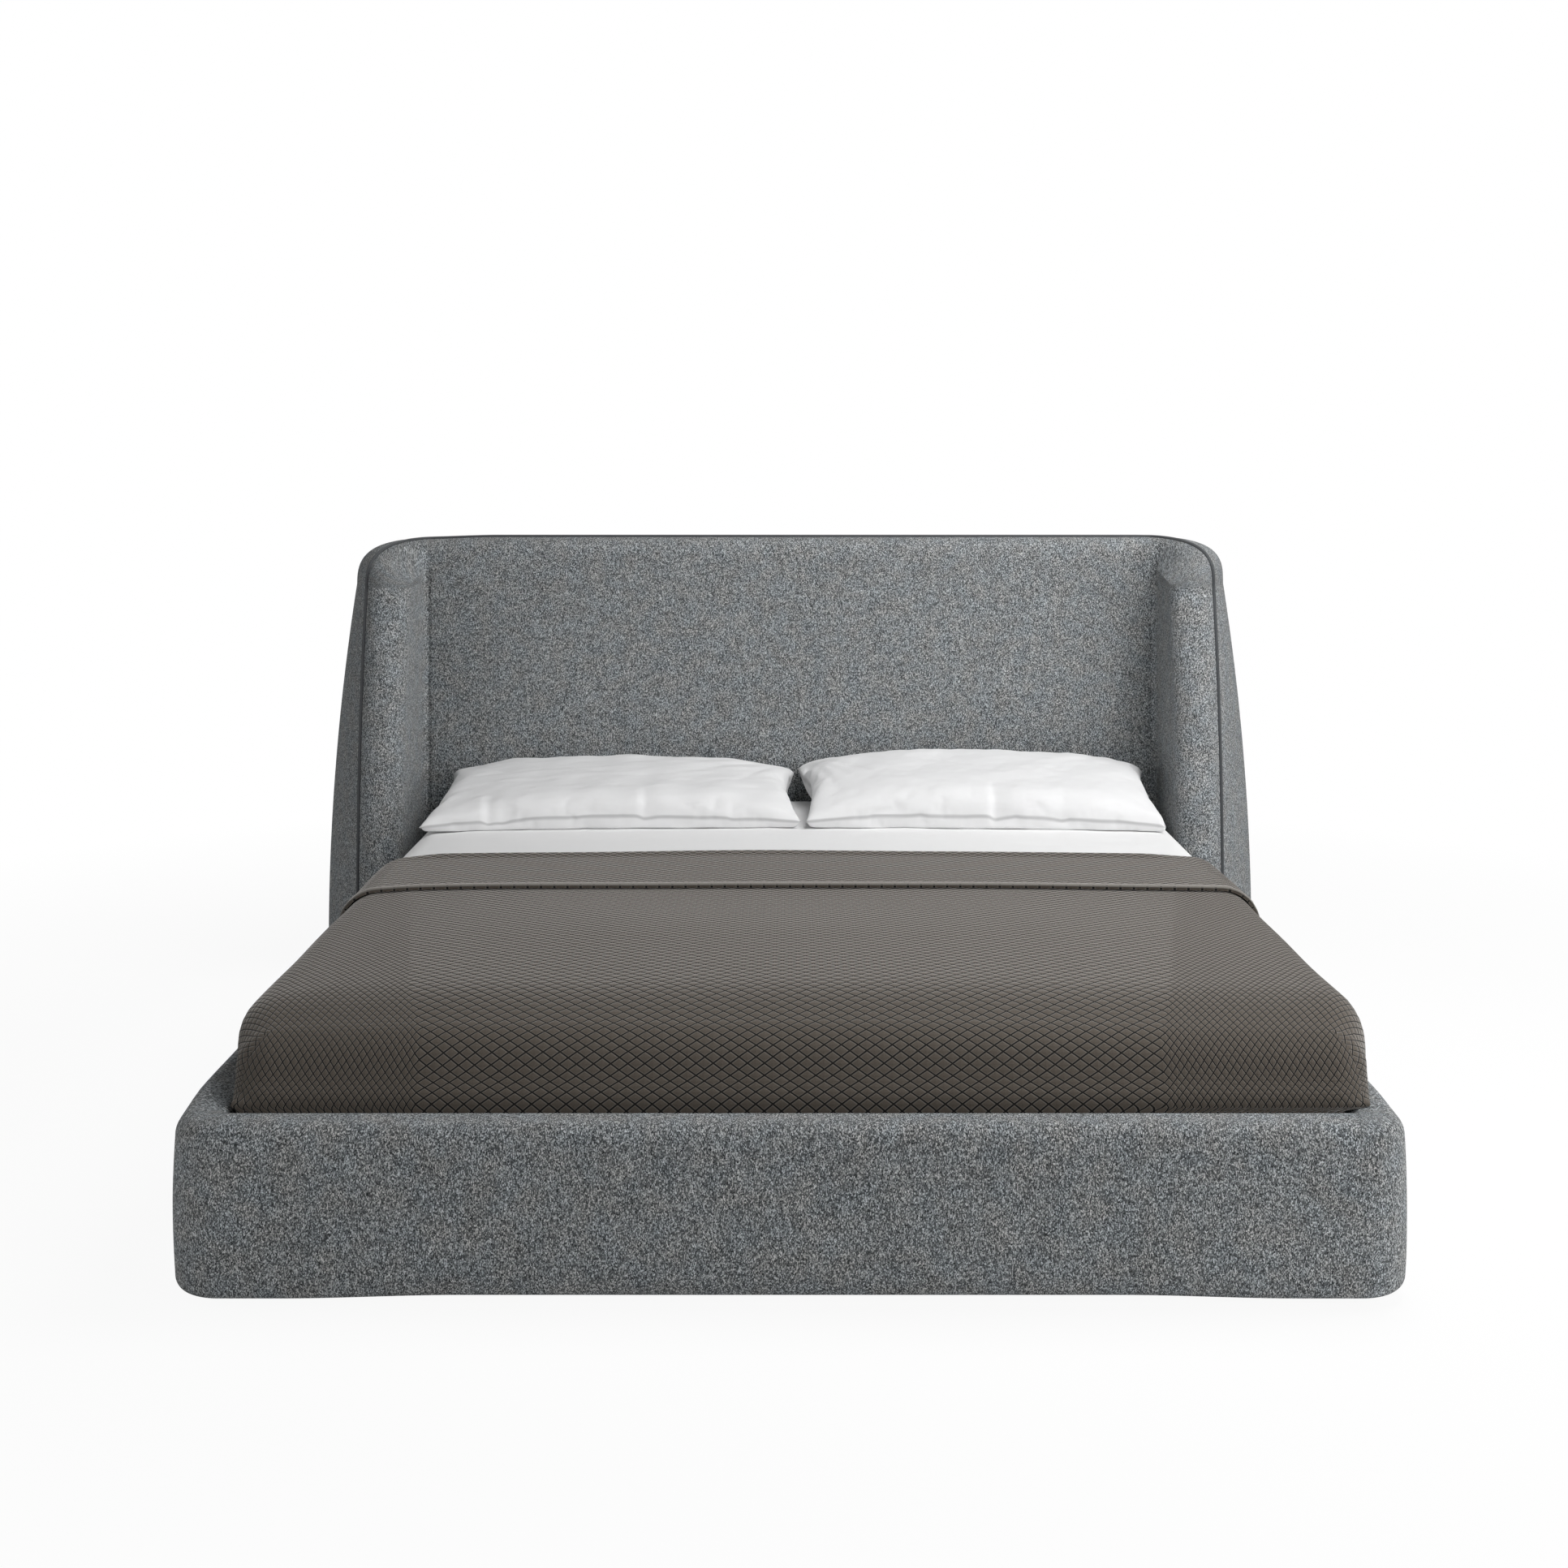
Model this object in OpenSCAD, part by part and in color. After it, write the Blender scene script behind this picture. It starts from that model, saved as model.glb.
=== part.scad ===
// Upholstered double bed with a winged headboard, made up with a mattress, a quilted
// coverlet and two pillows. Millimetres, Z up, +Y from the foot to the head, +X to the
// right as seen from the foot. The origin is on the floor under the middle of the bed.

/* [Mattress] */
// Width of the mattress
mattress_w = 1600; // [1400:10:1800]
// Length of the mattress
mattress_l = 2000; // [1900:10:2200]
// Height of the mattress
mattress_h = 200; // [170:5:240]
// Radius of the mattress's corners, seen from above
mattress_corner = 60; // [50:5:90]
// Radius of the mattress's long edges
mattress_edge = 28; // [15:1:34]
// Thickness of the mattress's cover
ticking_t = 8; // [4:1:14]
// Thickness of the fitted sheet
sheet_t = 2; // [1:0.5:3]
// How far the fitted sheet stops above the mattress's underside
sheet_lift = 6; // [2:1:20]

/* [Coverlet] */
// Thickness of the quilted coverlet
coverlet_t = 9; // [5:1:12]
// Distance from the headboard to the coverlet's folded edge
turn_down = 762; // [600:1:1200]
// Length of coverlet that is folded back
fold_back = 320; // [150:5:450]
// Width of the plain strip along the hem
hem_w = 24; // [12:1:40]
// Thickness of the hem strip
hem_t = 6; // [3:1:9]
// How far the coverlet's left side stands out above the rail
bulge_left = 14; // [0:1:40]
// How far the coverlet's right side stands out above the rail
bulge_right = 46; // [0:1:60]
// How far the tucked edge stops above the mattress's underside
tuck_lift = 20; // [10:1:40]

/* [Pillows] */
// Width of a pillow
pillow_w = 840; // [600:5:845]
// Depth of a pillow from front to back
pillow_l = 450; // [350:5:550]
// Height of a pillow
pillow_h = 145; // [100:5:180]
// Height of a pillow's side seam above the sheet
pillow_seam_h = 36; // [20:1:60]
// How far a pillow's sides draw in between its corners
pillow_draw = 16; // [5:1:30]
// Turn of each pillow, outer end towards the foot
pillow_turn = 1.5; // [0:0.5:4]
// Gap between the two pillows
pillow_gap = 8; // [2:1:20]
// How far both pillows lie to the right of the middle
pillow_shift = 12; // [0:1:14]
// Thickness of the pillowcase
case_t = 3; // [2:0.5:5]

/* [Rails] */
// Height of the padded rails
rail_h = 247; // [220:1:280]
// Gap between the padded rails and the floor
floor_gap = 15; // [12:1:40]
// Thickness of the rail boards
board_t = 24; // [18:1:28]
// Thickness of the foam outside the rail boards
rail_foam = 42; // [34:1:50]
// Thickness of the lining inside the rail boards
rail_lining = 10; // [6:1:14]
// Thickness of the foam on top of the rail boards
rail_top_foam = 22; // [16:1:30]
// Radius of the foot corners beyond the rail's thickness, seen from above
corner_extra = 4; // [2:1:8]
// Radius of the rail's top outer edge
rail_top_round = 32; // [20:1:40]
// Radius of the rail's bottom outer edge
rail_bottom_round = 24; // [10:1:26]
// Radius of the rail's top inner edge
rail_inner_round = 14; // [6:1:16]
// How far the rail's padding bulges at mid height
rail_crown = 3; // [0:0.5:5]
// Depth of the mattress inside the rails
mattress_sink = 91; // [80:1:110]
// Gap between the tucked bedding and the rails
side_clear = 4; // [2:1:10]
// Gap between the mattress and the headboard
head_clear = 3; // [1:1:10]

/* [Slatted base] */
// Width of a slat
slat_w = 53; // [40:1:68]
// Thickness of a slat
slat_t = 8; // [6:1:12]
// Number of slats in each column
slat_count = 14; // [10:1:16]
// Distance from the rail boards to the first and last slat
slat_margin = 70; // [65:1:100]
// Depth of a slat holder's pocket
pocket_l = 36; // [25:1:45]
// Wall of a slat holder
holder_wall = 2.5; // [2:0.5:4]
// Play of a slat in its holder
slat_play = 0.3; // [0.1:0.1:0.5]
// Width of the side ledgers
ledger_w = 30; // [28:1:40]
// Height of the side ledgers
ledger_h = 30; // [20:1:40]
// Width of the centre beam
beam_w = 50; // [40:1:60]
// Height of the centre beam
beam_h = 50; // [30:1:60]
// Wall of the centre beam
beam_wall = 2.5; // [2:0.5:4]
// Thickness of the beam hangers
hanger_t = 3; // [2:0.5:5]
// Length of a beam hanger's cup
hanger_l = 40; // [30:1:60]
// Width of a beam hanger's fixing flange, each side
hanger_flange = 22; // [18:1:30]
// Play of the beam in its hangers
beam_play = 0.3; // [0.1:0.1:0.5]
// Diameter of a centre leg
leg_d = 35; // [25:1:40]
// Number of centre legs
leg_count = 2; // [1:1:3]

/* [Feet and fixings] */
// Width of the corner blocks
block_w = 60; // [50:1:80]
// Height of the corner blocks
block_h = 84; // [75:1:90]
// Diameter of the corner feet
foot_d = 50; // [30:1:55]
// Thickness of the felt glides
glide_t = 4; // [2:1:6]
// Diameter of the bolts
bolt_d = 8; // [6:1:10]
// Play of a bolt in its hole
bolt_play = 0.25; // [0.1:0.05:0.5]
// Diameter of the wood screws
screw_d = 4; // [3:0.5:5]
// Length of the wood screws
screw_l = 38; // [36:1:40]
// Play of a screw in its hole
screw_play = 0.1; // [0.05:0.05:0.2]
// Thickness of the angle brackets
bracket_t = 5; // [3:1:6]
// Leg length of the angle brackets
bracket_l = 60; // [50:1:70]
// Height of the angle brackets
bracket_h = 76; // [60:1:80]

/* [Headboard] */
// Height of the headboard above the floor, without the welt
headboard_h = 1015; // [900:5:1150]
// Gap between the headboard's padding and the floor
headboard_gap = 20; // [15:1:40]
// Thickness of the headboard behind its front panel's face
headboard_t = 140; // [125:1:180]
// Thickness of the foam on the front panel
panel_foam = 50; // [40:1:60]
// Thickness of the plywood panel
panel_ply = 12; // [9:1:18]
// Gap between a side rail and the wing beside it
wing_gap = 6; // [3:1:15]
// Depth of the wings in front of the panel, at the floor
wing_depth = 313; // [250:1:380]
// How much of that depth is lost towards the top
wing_sweep = 135; // [60:5:160]
// Radius of the wing's rounded nose
nose_r = 52; // [46:1:58]
// Step from the panel's seam to the wing's inner face
seam_step = 12; // [8:1:18]
// Thickness of the foam inside the wing
wing_foam = 30; // [24:1:34]
// Place of the welt on the wing's nose, in degrees from square across
welt_angle = 25; // [15:1:35]
// Radius of the roll over the panel's top edge
roll_r = 44; // [36:1:48]
// Diameter of the welt piping
welt_d = 7; // [5:0.5:9]
// Gap between the welt and the padding beside it
welt_seat = 0.3; // [0.2:0.1:0.5]
// How far the shell stands out beyond the rails, at the floor
shell_flare = 246; // [220:1:280]
// How much of that is lost towards the top
shell_taper = 92; // [60:1:110]
// Radius of the shell's rear edges
shell_round = 50; // [40:1:56]
// Thickness of the padding on the shell
shell_foam = 24; // [18:1:28]
// Thickness of the bent board under the shell's padding
shell_ply = 8; // [6:1:10]
// Thickness of the back cover
back_t = 12; // [8:1:16]
// Distance from the seam to the back cover's edge
back_reach = 50; // [40:1:55]
// Width of the headboard's posts
post_w = 45; // [40:1:60]
// Thickness of the plywood boards and ribs in the wings
wing_ply = 12; // [9:1:15]
// Height of the headboard's upper and lower cross rails
cross_h = 60; // [40:1:80]
// Thickness of the headboard's glides
headboard_glide = 5; // [3:1:8]

/* [Hidden] */

// Gap that keeps pieces that lift apart from what they lie on
rest_gap = 0.3;
// Overlap that lets a cut run clean through a face
through = 1;
// Facets of small round pieces
$fn = 32;
// Height over which the second layer starts on the coverlet's sides
double_ramp = 14;
// Length over which the coverlet goes from two layers to one behind its hem
single_step = 1;
// Height of the headboard's brackets above the rail boards' underside
bracket_lift = 12;
// Distance from the wing's front to the boards inside it, beyond the nose's radius
nose_pad = 8;
// Height of the frame above the back cover
frame_rise = 10;
// Number of screws in each ledger
screw_count = 6;

fabric = [0.40, 0.46, 0.53];
linen = [0.94, 0.94, 0.93];
quilt = [0.43, 0.40, 0.38];
timber = [0.80, 0.66, 0.47];
birch = [0.90, 0.80, 0.62];
steel = [0.55, 0.56, 0.58];
plastic = [0.12, 0.12, 0.13];
felt = [0.35, 0.34, 0.33];
piping = [0.22, 0.24, 0.27];

rail_t = rail_foam + board_t + rail_lining;
rail_top = floor_gap + rail_h;
rail_in = mattress_w / 2 + sheet_t + coverlet_t + side_clear;
rail_out = rail_in + rail_t;
board_in = rail_in + rail_lining;
board_out = board_in + board_t;
board_z = floor_gap + glide_t;
board_top = rail_top - rail_top_foam;

foot_layers = sheet_t + coverlet_t + side_clear;
overall_l = rail_t + foot_layers + mattress_l + sheet_t + head_clear + headboard_t;
foot_y = -overall_l / 2;
mattress_foot = foot_y + rail_t + foot_layers;
mattress_head = mattress_foot + mattress_l;
panel_y = mattress_head + sheet_t + head_clear;
foot_board_y = foot_y + rail_foam;
foot_inner_y = foot_board_y + board_t;

mattress_base = rail_top - mattress_sink;
mattress_top = mattress_base + mattress_h;
lining_z = mattress_base + side_clear;

// The slatted base, from the mattress down
holder_h = slat_t + 2 * (slat_play + holder_wall);
holder_top = mattress_base - rest_gap;
ledger_top = holder_top - holder_h;
slat_z = ledger_top + holder_wall + slat_play;
holder_l = pocket_l + holder_wall;
slat_out = board_in - holder_wall - 2 * slat_play;
slat_in = holder_wall / 2 + slat_play;
slat_first = foot_inner_y + slat_margin;
slat_pitch = (panel_y - slat_margin - slat_first) / (slat_count - 1);
beam_z = ledger_top - beam_h;
hanger_w = beam_w + 2 * (beam_play + hanger_t);
hanger_h = 0.8 * beam_h;
block_z = board_z;
block_in = board_in - block_w;
bolt_zs = [for (i = [0:3]) block_z + (0.15 + 0.235 * i) * block_h];

// Step between neighbouring directions of a swept corner
corner_r = rail_t + corner_extra;
corner_x = rail_out - corner_r;
corner_y = foot_y + corner_r;
corner_steps = [0, 18, 32, 45, 58, 72, 90];

// The headboard's sections: r runs outwards from the seam, u forwards from the panel
seam_x = rail_out + wing_gap - seam_step;
nose_c = seam_step + nose_r;
welt_r = welt_d / 2;
welt_out = nose_c + nose_r * cos(welt_angle);
pivot_z = headboard_h - welt_out;
back_y = panel_y + headboard_t;
groove = sqrt(2) * (welt_r + welt_seat);
nose_front = 36;
frame_r = back_reach + frame_rise;
frame_top = pivot_z + frame_r;
frame_in = panel_foam + panel_ply;
frame_t = headboard_t - back_t - frame_in;
board_r = seam_step + wing_foam;
front_set = nose_r + nose_pad;
corner_power = 3.2;
sweep_power = 4.5;
pivot_hole = 4;
// Bow that keeps the points on a flat face out of one line
bow = 0.4;
headboard_z = headboard_gap;
rib_zs = [headboard_z, headboard_z + 0.48 * (pivot_z - headboard_z), pivot_z - wing_ply];
wing_zs = [rib_zs[0], rib_zs[0] + wing_ply, (rib_zs[0] + rib_zs[1]) / 2,
    rib_zs[1], rib_zs[1] + wing_ply, rib_zs[1] + 0.4 * (rib_zs[2] - rib_zs[1]),
    rib_zs[1] + 0.75 * (rib_zs[2] - rib_zs[1]), rib_zs[2], pivot_z];
corner_turns = [15, 30, 45, 58, 70, 80, 90];
lower_rail_top = mattress_base - ledger_h / 3;

function mix(a, b, t) = a + (b - a) * t;
function flip(list) = [for (i = [len(list) - 1:-1:0]) list[i]];
function arc(c, r, from, to, steps) =
    [for (i = [0:steps]) let (a = mix(from, to, i / steps)) c + [r[0] * cos(a), r[1] * sin(a)]];

// Solid through closed rings of points, each counterclockwise as seen from the last one
module loft(rings) {
    m = len(rings[0]);
    n = len(rings);
    sides = [for (i = [0:n - 2]) for (j = [0:m - 1])
        let (a = i * m + j, b = i * m + (j + 1) % m)
        each [[a, a + m, b + m], [a, b + m, b]]];
    first = [for (j = [0:m - 1]) j];
    last = [for (j = [m - 1:-1:0]) (n - 1) * m + j];
    polyhedron([for (ring = rings) each ring], concat([first], sides, [last]), convexity = 8);
}

// The same piece on the left, from the one on the right
module left_hand() {
    mirror([1, 0, 0]) children();
}

// A box from its lowest and highest corners
module block(low, high) {
    translate(low) cube(high - low);
}

// Hexagon bolt along +Z, its head's underside at z = 0, as long as l
module bolt(l) {
    cylinder(d = bolt_d, h = l);
    translate([0, 0, -0.65 * bolt_d]) cylinder(d = 1.8 * bolt_d, h = 0.65 * bolt_d, $fn = 6);
}

module bolt_hole(l) {
    translate([0, 0, -through]) cylinder(d = bolt_d + 2 * bolt_play, h = l + through);
}

// Places of the bolts through a corner block: two along the bed and two across it
module at_corner_bolts() {
    for (i = [0:1]) {
        x = block_in + (0.35 + 0.3 * i) * block_w;
        y = foot_inner_y + (0.65 - 0.3 * i) * block_w;
        translate([x, foot_inner_y + block_w, bolt_zs[2 * i]]) rotate([90, 0, 0]) children();
        translate([block_in, y, bolt_zs[2 * i + 1]]) rotate([0, 90, 0]) children();
    }
}

corner_bolt_l = block_w + 0.7 * board_t;

module both_sides() {
    children();
    left_hand() children();
}

// Section of the padded rail: r from the inner face, z, and 1 where corners stay square
function rail_outer() = concat(
    [[rail_lining + board_t, floor_gap, 1]],
    [for (p = arc([rail_t - rail_bottom_round, floor_gap + rail_bottom_round],
        [rail_bottom_round - rail_crown, rail_bottom_round], -90, 0, 4)) [p[0], p[1], 0]],
    [[rail_t, (floor_gap + rail_top) / 2, 0]],
    [for (p = arc([rail_t - rail_top_round, rail_top - rail_top_round],
        [rail_top_round - rail_crown, rail_top_round], 0, 90, 5)) [p[0], p[1], 0]]);
function rail_inner() = concat(
    [for (p = arc([rail_inner_round, rail_top - rail_inner_round],
        [rail_inner_round, rail_inner_round], 90, 180, 3)) [p[0], p[1], 1]],
    [[0, lining_z, 1], [rail_lining, lining_z, 1], [rail_lining, board_top, 1],
        [rail_lining + board_t, board_top, 1]]);
function rail_section() = concat(rail_outer(), rail_inner());

// The rail's section on a ray from the middle of the foot corner's curve
function rail_ring(a) = [for (p = rail_section())
    let (d = (corner_extra + p[0]) / (p[2] == 1 ? max(cos(a), sin(a)) : 1))
    [corner_x + d * cos(a), corner_y - d * sin(a), p[1]]];
function across(ring) = [for (p = ring) [-p[0], p[1], p[2]]];

module foot_rail_padding() {
    right = [for (a = corner_steps) rail_ring(a)];
    left = [for (ring = flip(right)) across(ring)];
    color(fabric) loft(concat(right, left));
}

module side_rail_padding() {
    section = [for (p = rail_section()) [p[0], p[1]]];
    end = panel_y - seam_step / 4;
    color(fabric) translate([rail_in, end, 0]) rotate([90, 0, 0])
        linear_extrude(end - corner_y) polygon(section);
}

module foot_rail_board() {
    color(timber) difference() {
        block([-board_out, foot_board_y, board_z], [board_out, foot_inner_y, board_top]);
        both_sides() at_corner_bolts() bolt_hole(corner_bolt_l);
        at_hanger_screws() screw_hole();
    }
}

module side_rail_board() {
    color(timber) difference() {
        block([board_in, foot_inner_y, board_z], [board_out, panel_y, board_top]);
        at_corner_bolts() bolt_hole(corner_bolt_l);
        at_bracket_bolts() bolt_hole(side_bolt_l);
        at_ledger_screws() screw_hole();
    }
}

module corner_blocks() {
    color(timber) both_sides() difference() {
        block([block_in, foot_inner_y, block_z],
            [board_in, foot_inner_y + block_w, block_z + block_h]);
        at_corner_bolts() bolt_hole(corner_bolt_l);
    }
}

module corner_bolts() {
    color(steel) both_sides() at_corner_bolts() bolt(corner_bolt_l - rest_gap);
}

foot_c = [board_in - block_w / 2, foot_inner_y + block_w / 2];

module corner_feet() {
    color(plastic) both_sides() translate([foot_c[0], foot_c[1], glide_t])
        cylinder(d = foot_d, h = board_z - glide_t);
}

module foot_glides() {
    color(felt) both_sides() translate([foot_c[0], foot_c[1], 0])
        cylinder(d = foot_d - glide_t, h = glide_t);
}

// Ledgers stop short of the corner blocks and of the headboard's brackets
ledger_from = foot_inner_y + block_w + rest_gap;
ledger_to = panel_y - bracket_l - rest_gap;
ledger_z = ledger_top - ledger_h;
hanger_screw_l = 0.5 * screw_l;

// Countersunk screw along +Z, the top of its head at z = 0, as long as l
module screw(l = screw_l) {
    cylinder(d1 = 2 * screw_d, d2 = screw_d, h = screw_d / 2);
    cylinder(d = screw_d, h = l);
}

module screw_hole(l = screw_l) {
    wide = 2 * screw_play;
    translate([0, 0, -through]) cylinder(d = 2 * screw_d + wide, h = through);
    cylinder(d1 = 2 * screw_d + wide, d2 = screw_d + wide, h = screw_d / 2);
    cylinder(d = screw_d + wide, h = l + screw_play);
}

module at_ledger_screws() {
    for (i = [0:screw_count - 1])
        translate([board_in - ledger_w, mix(ledger_from, ledger_to, (i + 0.5) / screw_count),
            ledger_z + ledger_h / 2]) rotate([0, 90, 0]) children();
}

module ledger() {
    color(timber) difference() {
        block([board_in - ledger_w, ledger_from, ledger_z], [board_in, ledger_to, ledger_top]);
        at_ledger_screws() screw_hole();
    }
}

module ledger_screws() {
    color(steel) {
        both_sides() at_ledger_screws() screw();
        at_hanger_screws() screw(hanger_screw_l);
    }
}

beam_from = foot_inner_y + rest_gap;
beam_to = panel_y - rest_gap;

module centre_beam() {
    color(steel) difference() {
        block([-beam_w / 2, beam_from, beam_z], [beam_w / 2, beam_to, ledger_top]);
        block([-beam_w / 2 + beam_wall, beam_from - through, beam_z + beam_wall],
            [beam_w / 2 - beam_wall, beam_to + through, ledger_top - beam_wall]);
    }
}

// Screws through the hangers' flanges, into the foot board and the headboard's lower rail
module at_hanger_screws() {
    z = beam_z + hanger_h / 2;
    for (side = [-1, 1]) {
        x = side * (hanger_w + hanger_flange) / 2;
        translate([x, foot_inner_y + hanger_t, z]) rotate([90, 0, 0]) children();
        translate([x, panel_y - hanger_t, z]) rotate([-90, 0, 0]) children();
    }
}

// Cup that carries one end of the beam, its flanges at y = 0
module hanger() {
    z = beam_z - beam_play - hanger_t;
    top = beam_z + hanger_h;
    half = hanger_w / 2;
    difference() {
        union() {
            block([-half, 0, z], [half, hanger_l, top]);
            block([-half - hanger_flange, 0, z], [half + hanger_flange, hanger_t, top]);
        }
        block([-half + hanger_t, -through, z + hanger_t],
            [half - hanger_t, hanger_l + through, top + through]);
    }
}

module beam_hangers() {
    color(steel) difference() {
        union() {
            translate([0, foot_inner_y, 0]) hanger();
            translate([0, panel_y, 0]) mirror([0, 1, 0]) hanger();
        }
        at_hanger_screws() screw_hole(hanger_screw_l);
    }
}

module at_legs() {
    for (i = [1:leg_count])
        translate([0, mix(beam_from, beam_to, i / (leg_count + 1)), 0]) children();
}

module centre_legs() {
    color(steel) at_legs() translate([0, 0, glide_t]) cylinder(d = leg_d, h = beam_z - glide_t);
}

module leg_glides() {
    color(plastic) at_legs() cylinder(d = leg_d + glide_t, h = glide_t);
}

module at_slats() {
    for (i = [0:slat_count - 1])
        translate([0, slat_first + i * slat_pitch, 0]) children();
}

module slats() {
    color(birch) at_slats()
        block([slat_in, -slat_w / 2, slat_z], [slat_out, slat_w / 2, slat_z + slat_t]);
}

// Moulded holder with one pocket, or two back to back, from x1 to x2
module holder(x1, x2) {
    half = slat_w / 2 + slat_play;
    difference() {
        block([x1, -half - holder_wall, ledger_top], [x2, half + holder_wall, holder_top]);
        children();
    }
}

module pocket(x1, x2) {
    half = slat_w / 2 + slat_play;
    block([x1, -half, slat_z - slat_play], [x2, half, slat_z + slat_t + slat_play]);
}

module slat_holders_side() {
    end = slat_out + slat_play;
    color(plastic) both_sides() at_slats()
        holder(end - pocket_l, end + holder_wall) pocket(end - pocket_l - through, end);
}

module slat_holders_centre() {
    color(plastic) at_slats() holder(-holder_l, holder_l) {
        pocket(holder_wall / 2, holder_l + through);
        pocket(-holder_l - through, -holder_wall / 2);
    }
}

module headboard_post() {
    color(timber) block([seam_x - post_w, panel_y + frame_in, headboard_glide],
        [seam_x, panel_y + frame_in + frame_t, frame_top]);
}

module headboard_cross_rail(z) {
    half = seam_x - post_w;
    color(timber) block([-half, panel_y + frame_in, z],
        [half, panel_y + frame_in + frame_t, z + cross_h]);
}

side_bolt_l = bracket_t + 0.7 * board_t;
lower_bolt_l = bracket_t + 0.7 * panel_foam;
bracket_z = block_z + bracket_lift;

module at_bracket_bolts() {
    for (i = [0:1])
        translate([board_in - bracket_t, panel_y - 0.6 * bracket_l,
            bracket_z + (0.25 + 0.5 * i) * bracket_h]) rotate([0, 90, 0]) children();
}

module at_lower_bolts() {
    for (i = [0:1])
        translate([board_in - 0.6 * bracket_l, panel_y - bracket_t,
            bracket_z + (0.35 + 0.5 * i) * bracket_h]) rotate([-90, 0, 0]) children();
}

module headboard_lower_rail() {
    color(timber) difference() {
        block([-seam_x, panel_y, headboard_z], [seam_x, panel_y + panel_foam, lower_rail_top]);
        both_sides() at_lower_bolts() bolt_hole(lower_bolt_l);
        at_hanger_screws() screw_hole();
    }
}

module headboard_panel() {
    color(birch) block([-seam_x, panel_y + panel_foam, headboard_z],
        [seam_x, panel_y + frame_in, frame_top]);
}

module headboard_glides() {
    d = min(post_w, frame_t) - headboard_glide;
    color(plastic) both_sides()
        translate([seam_x - post_w / 2, panel_y + frame_in + frame_t / 2, 0])
            cylinder(d = d, h = headboard_glide);
}

module headboard_brackets() {
    top = bracket_z + bracket_h;
    color(steel) both_sides() difference() {
        union() {
            block([board_in - bracket_t, panel_y - bracket_l, bracket_z],
                [board_in, panel_y, top]);
            block([board_in - bracket_l, panel_y - bracket_t, bracket_z],
                [board_in, panel_y, top]);
        }
        at_bracket_bolts() bolt_hole(side_bolt_l);
        at_lower_bolts() bolt_hole(lower_bolt_l);
    }
}

module headboard_bolts() {
    color(steel) both_sides() {
        at_bracket_bolts() bolt(side_bolt_l - rest_gap);
        at_lower_bolts() bolt(lower_bolt_l - rest_gap);
    }
}

// How far up the headboard a height is, from 0 to 1
function rise(z) = (z - headboard_z) / (headboard_h - headboard_z);
function wing_u(z) = wing_depth - wing_sweep * pow(rise(z), 2.5);
function shell_r(z) = rail_out + shell_flare - shell_taper * pow(rise(z), 2) - seam_x;

// The welt's middle, and the groove beside it towards the padding and towards the shell
function welt_c(z) = [welt_out, wing_u(z) - nose_r + nose_r * sin(welt_angle)];
welt_n = [cos(welt_angle), sin(welt_angle)];
welt_a = [-sin(welt_angle), cos(welt_angle)];
top_c = [welt_out, -panel_foam];

// Section of the inner padding on the wing at height z
function wing_inner(z) = let (u = wing_u(z), c = welt_c(z)) concat(
    [[0, 0], [seam_step / 2, seam_step / 4], [seam_step, seam_step],
        [seam_step, 0.5 * (u - nose_r)]],
    arc([nose_c, u - nose_r], [nose_r, nose_r], 180, nose_front, 8),
    [c + groove * welt_a, c - groove * welt_n,
        [nose_c + 0.3 * nose_r, u - front_set], [board_r, u - front_set],
        [board_r, -panel_foam], [0, -panel_foam]]);

// Section of the inner padding over the panel's top edge, point for point as on the wing
function top_inner() = let (flat = welt_out - roll_r) concat(
    [for (i = [0:3]) [flat * i / 4, -bow * sin(45 * i)]],
    arc([flat, -roll_r], [roll_r, roll_r], 90, 8, 8),
    [top_c + [0, groove], top_c - [groove, 0]],
    [for (i = [3:-1:0]) [0.25 * i * (welt_out - 2 * groove), bow * sin(45 * i) - panel_foam]]);

// Section of the shell's padding on the wing at height z
function wing_shell(z) = let (r = shell_r(z), u = wing_u(z), c = welt_c(z),
    bend = [r, 0.3 * u], rear = [r - shell_round, -headboard_t + shell_round],
    start = c - groove * welt_a, core = c - groove * welt_n,
    in_bend = bend - [shell_foam, 0], in_end = [r - shell_foam, rear[1]]) concat(
    [for (t = [0:0.2:0.8]) curve(start, bend, [r, rear[1]], t)],
    arc(rear, [shell_round, shell_round], 0, -90, 5),
    [[back_reach, -headboard_t], [back_reach, back_t - headboard_t]],
    arc(rear, [shell_round - shell_foam, shell_round - back_t], -90, 0, 3),
    [for (t = [0.7:-0.35:0]) curve(core, in_bend, in_end, t)]);

// Point on a quadratic curve
function curve(a, b, c, t) = (1 - t) * (1 - t) * a + 2 * t * (1 - t) * b + t * t * c;

// Section of the shell's padding over the top rail, point for point as on the wing
function top_shell() = let (rear = [welt_out - shell_round, -headboard_t + shell_round],
    start = top_c - [0, groove], low = back_t - headboard_t) concat(
    [for (t = [0:0.2:0.8]) mix(start, [welt_out, rear[1]], t) - [bow * sin(180 * t), 0]],
    arc(rear, [shell_round, shell_round], 0, -90, 5),
    [[back_reach, -headboard_t], [back_reach, low]],
    [for (t = [0, 0.3, 0.55, 0.8])
        mix([frame_r, low], [frame_r, -panel_foam], t) + [bow * sin(180 * t), 0]],
    [[frame_r, -panel_foam], [mix(frame_r, welt_out - groove, 0.5), -panel_foam - bow],
        top_c - [groove, 0]]);

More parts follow.
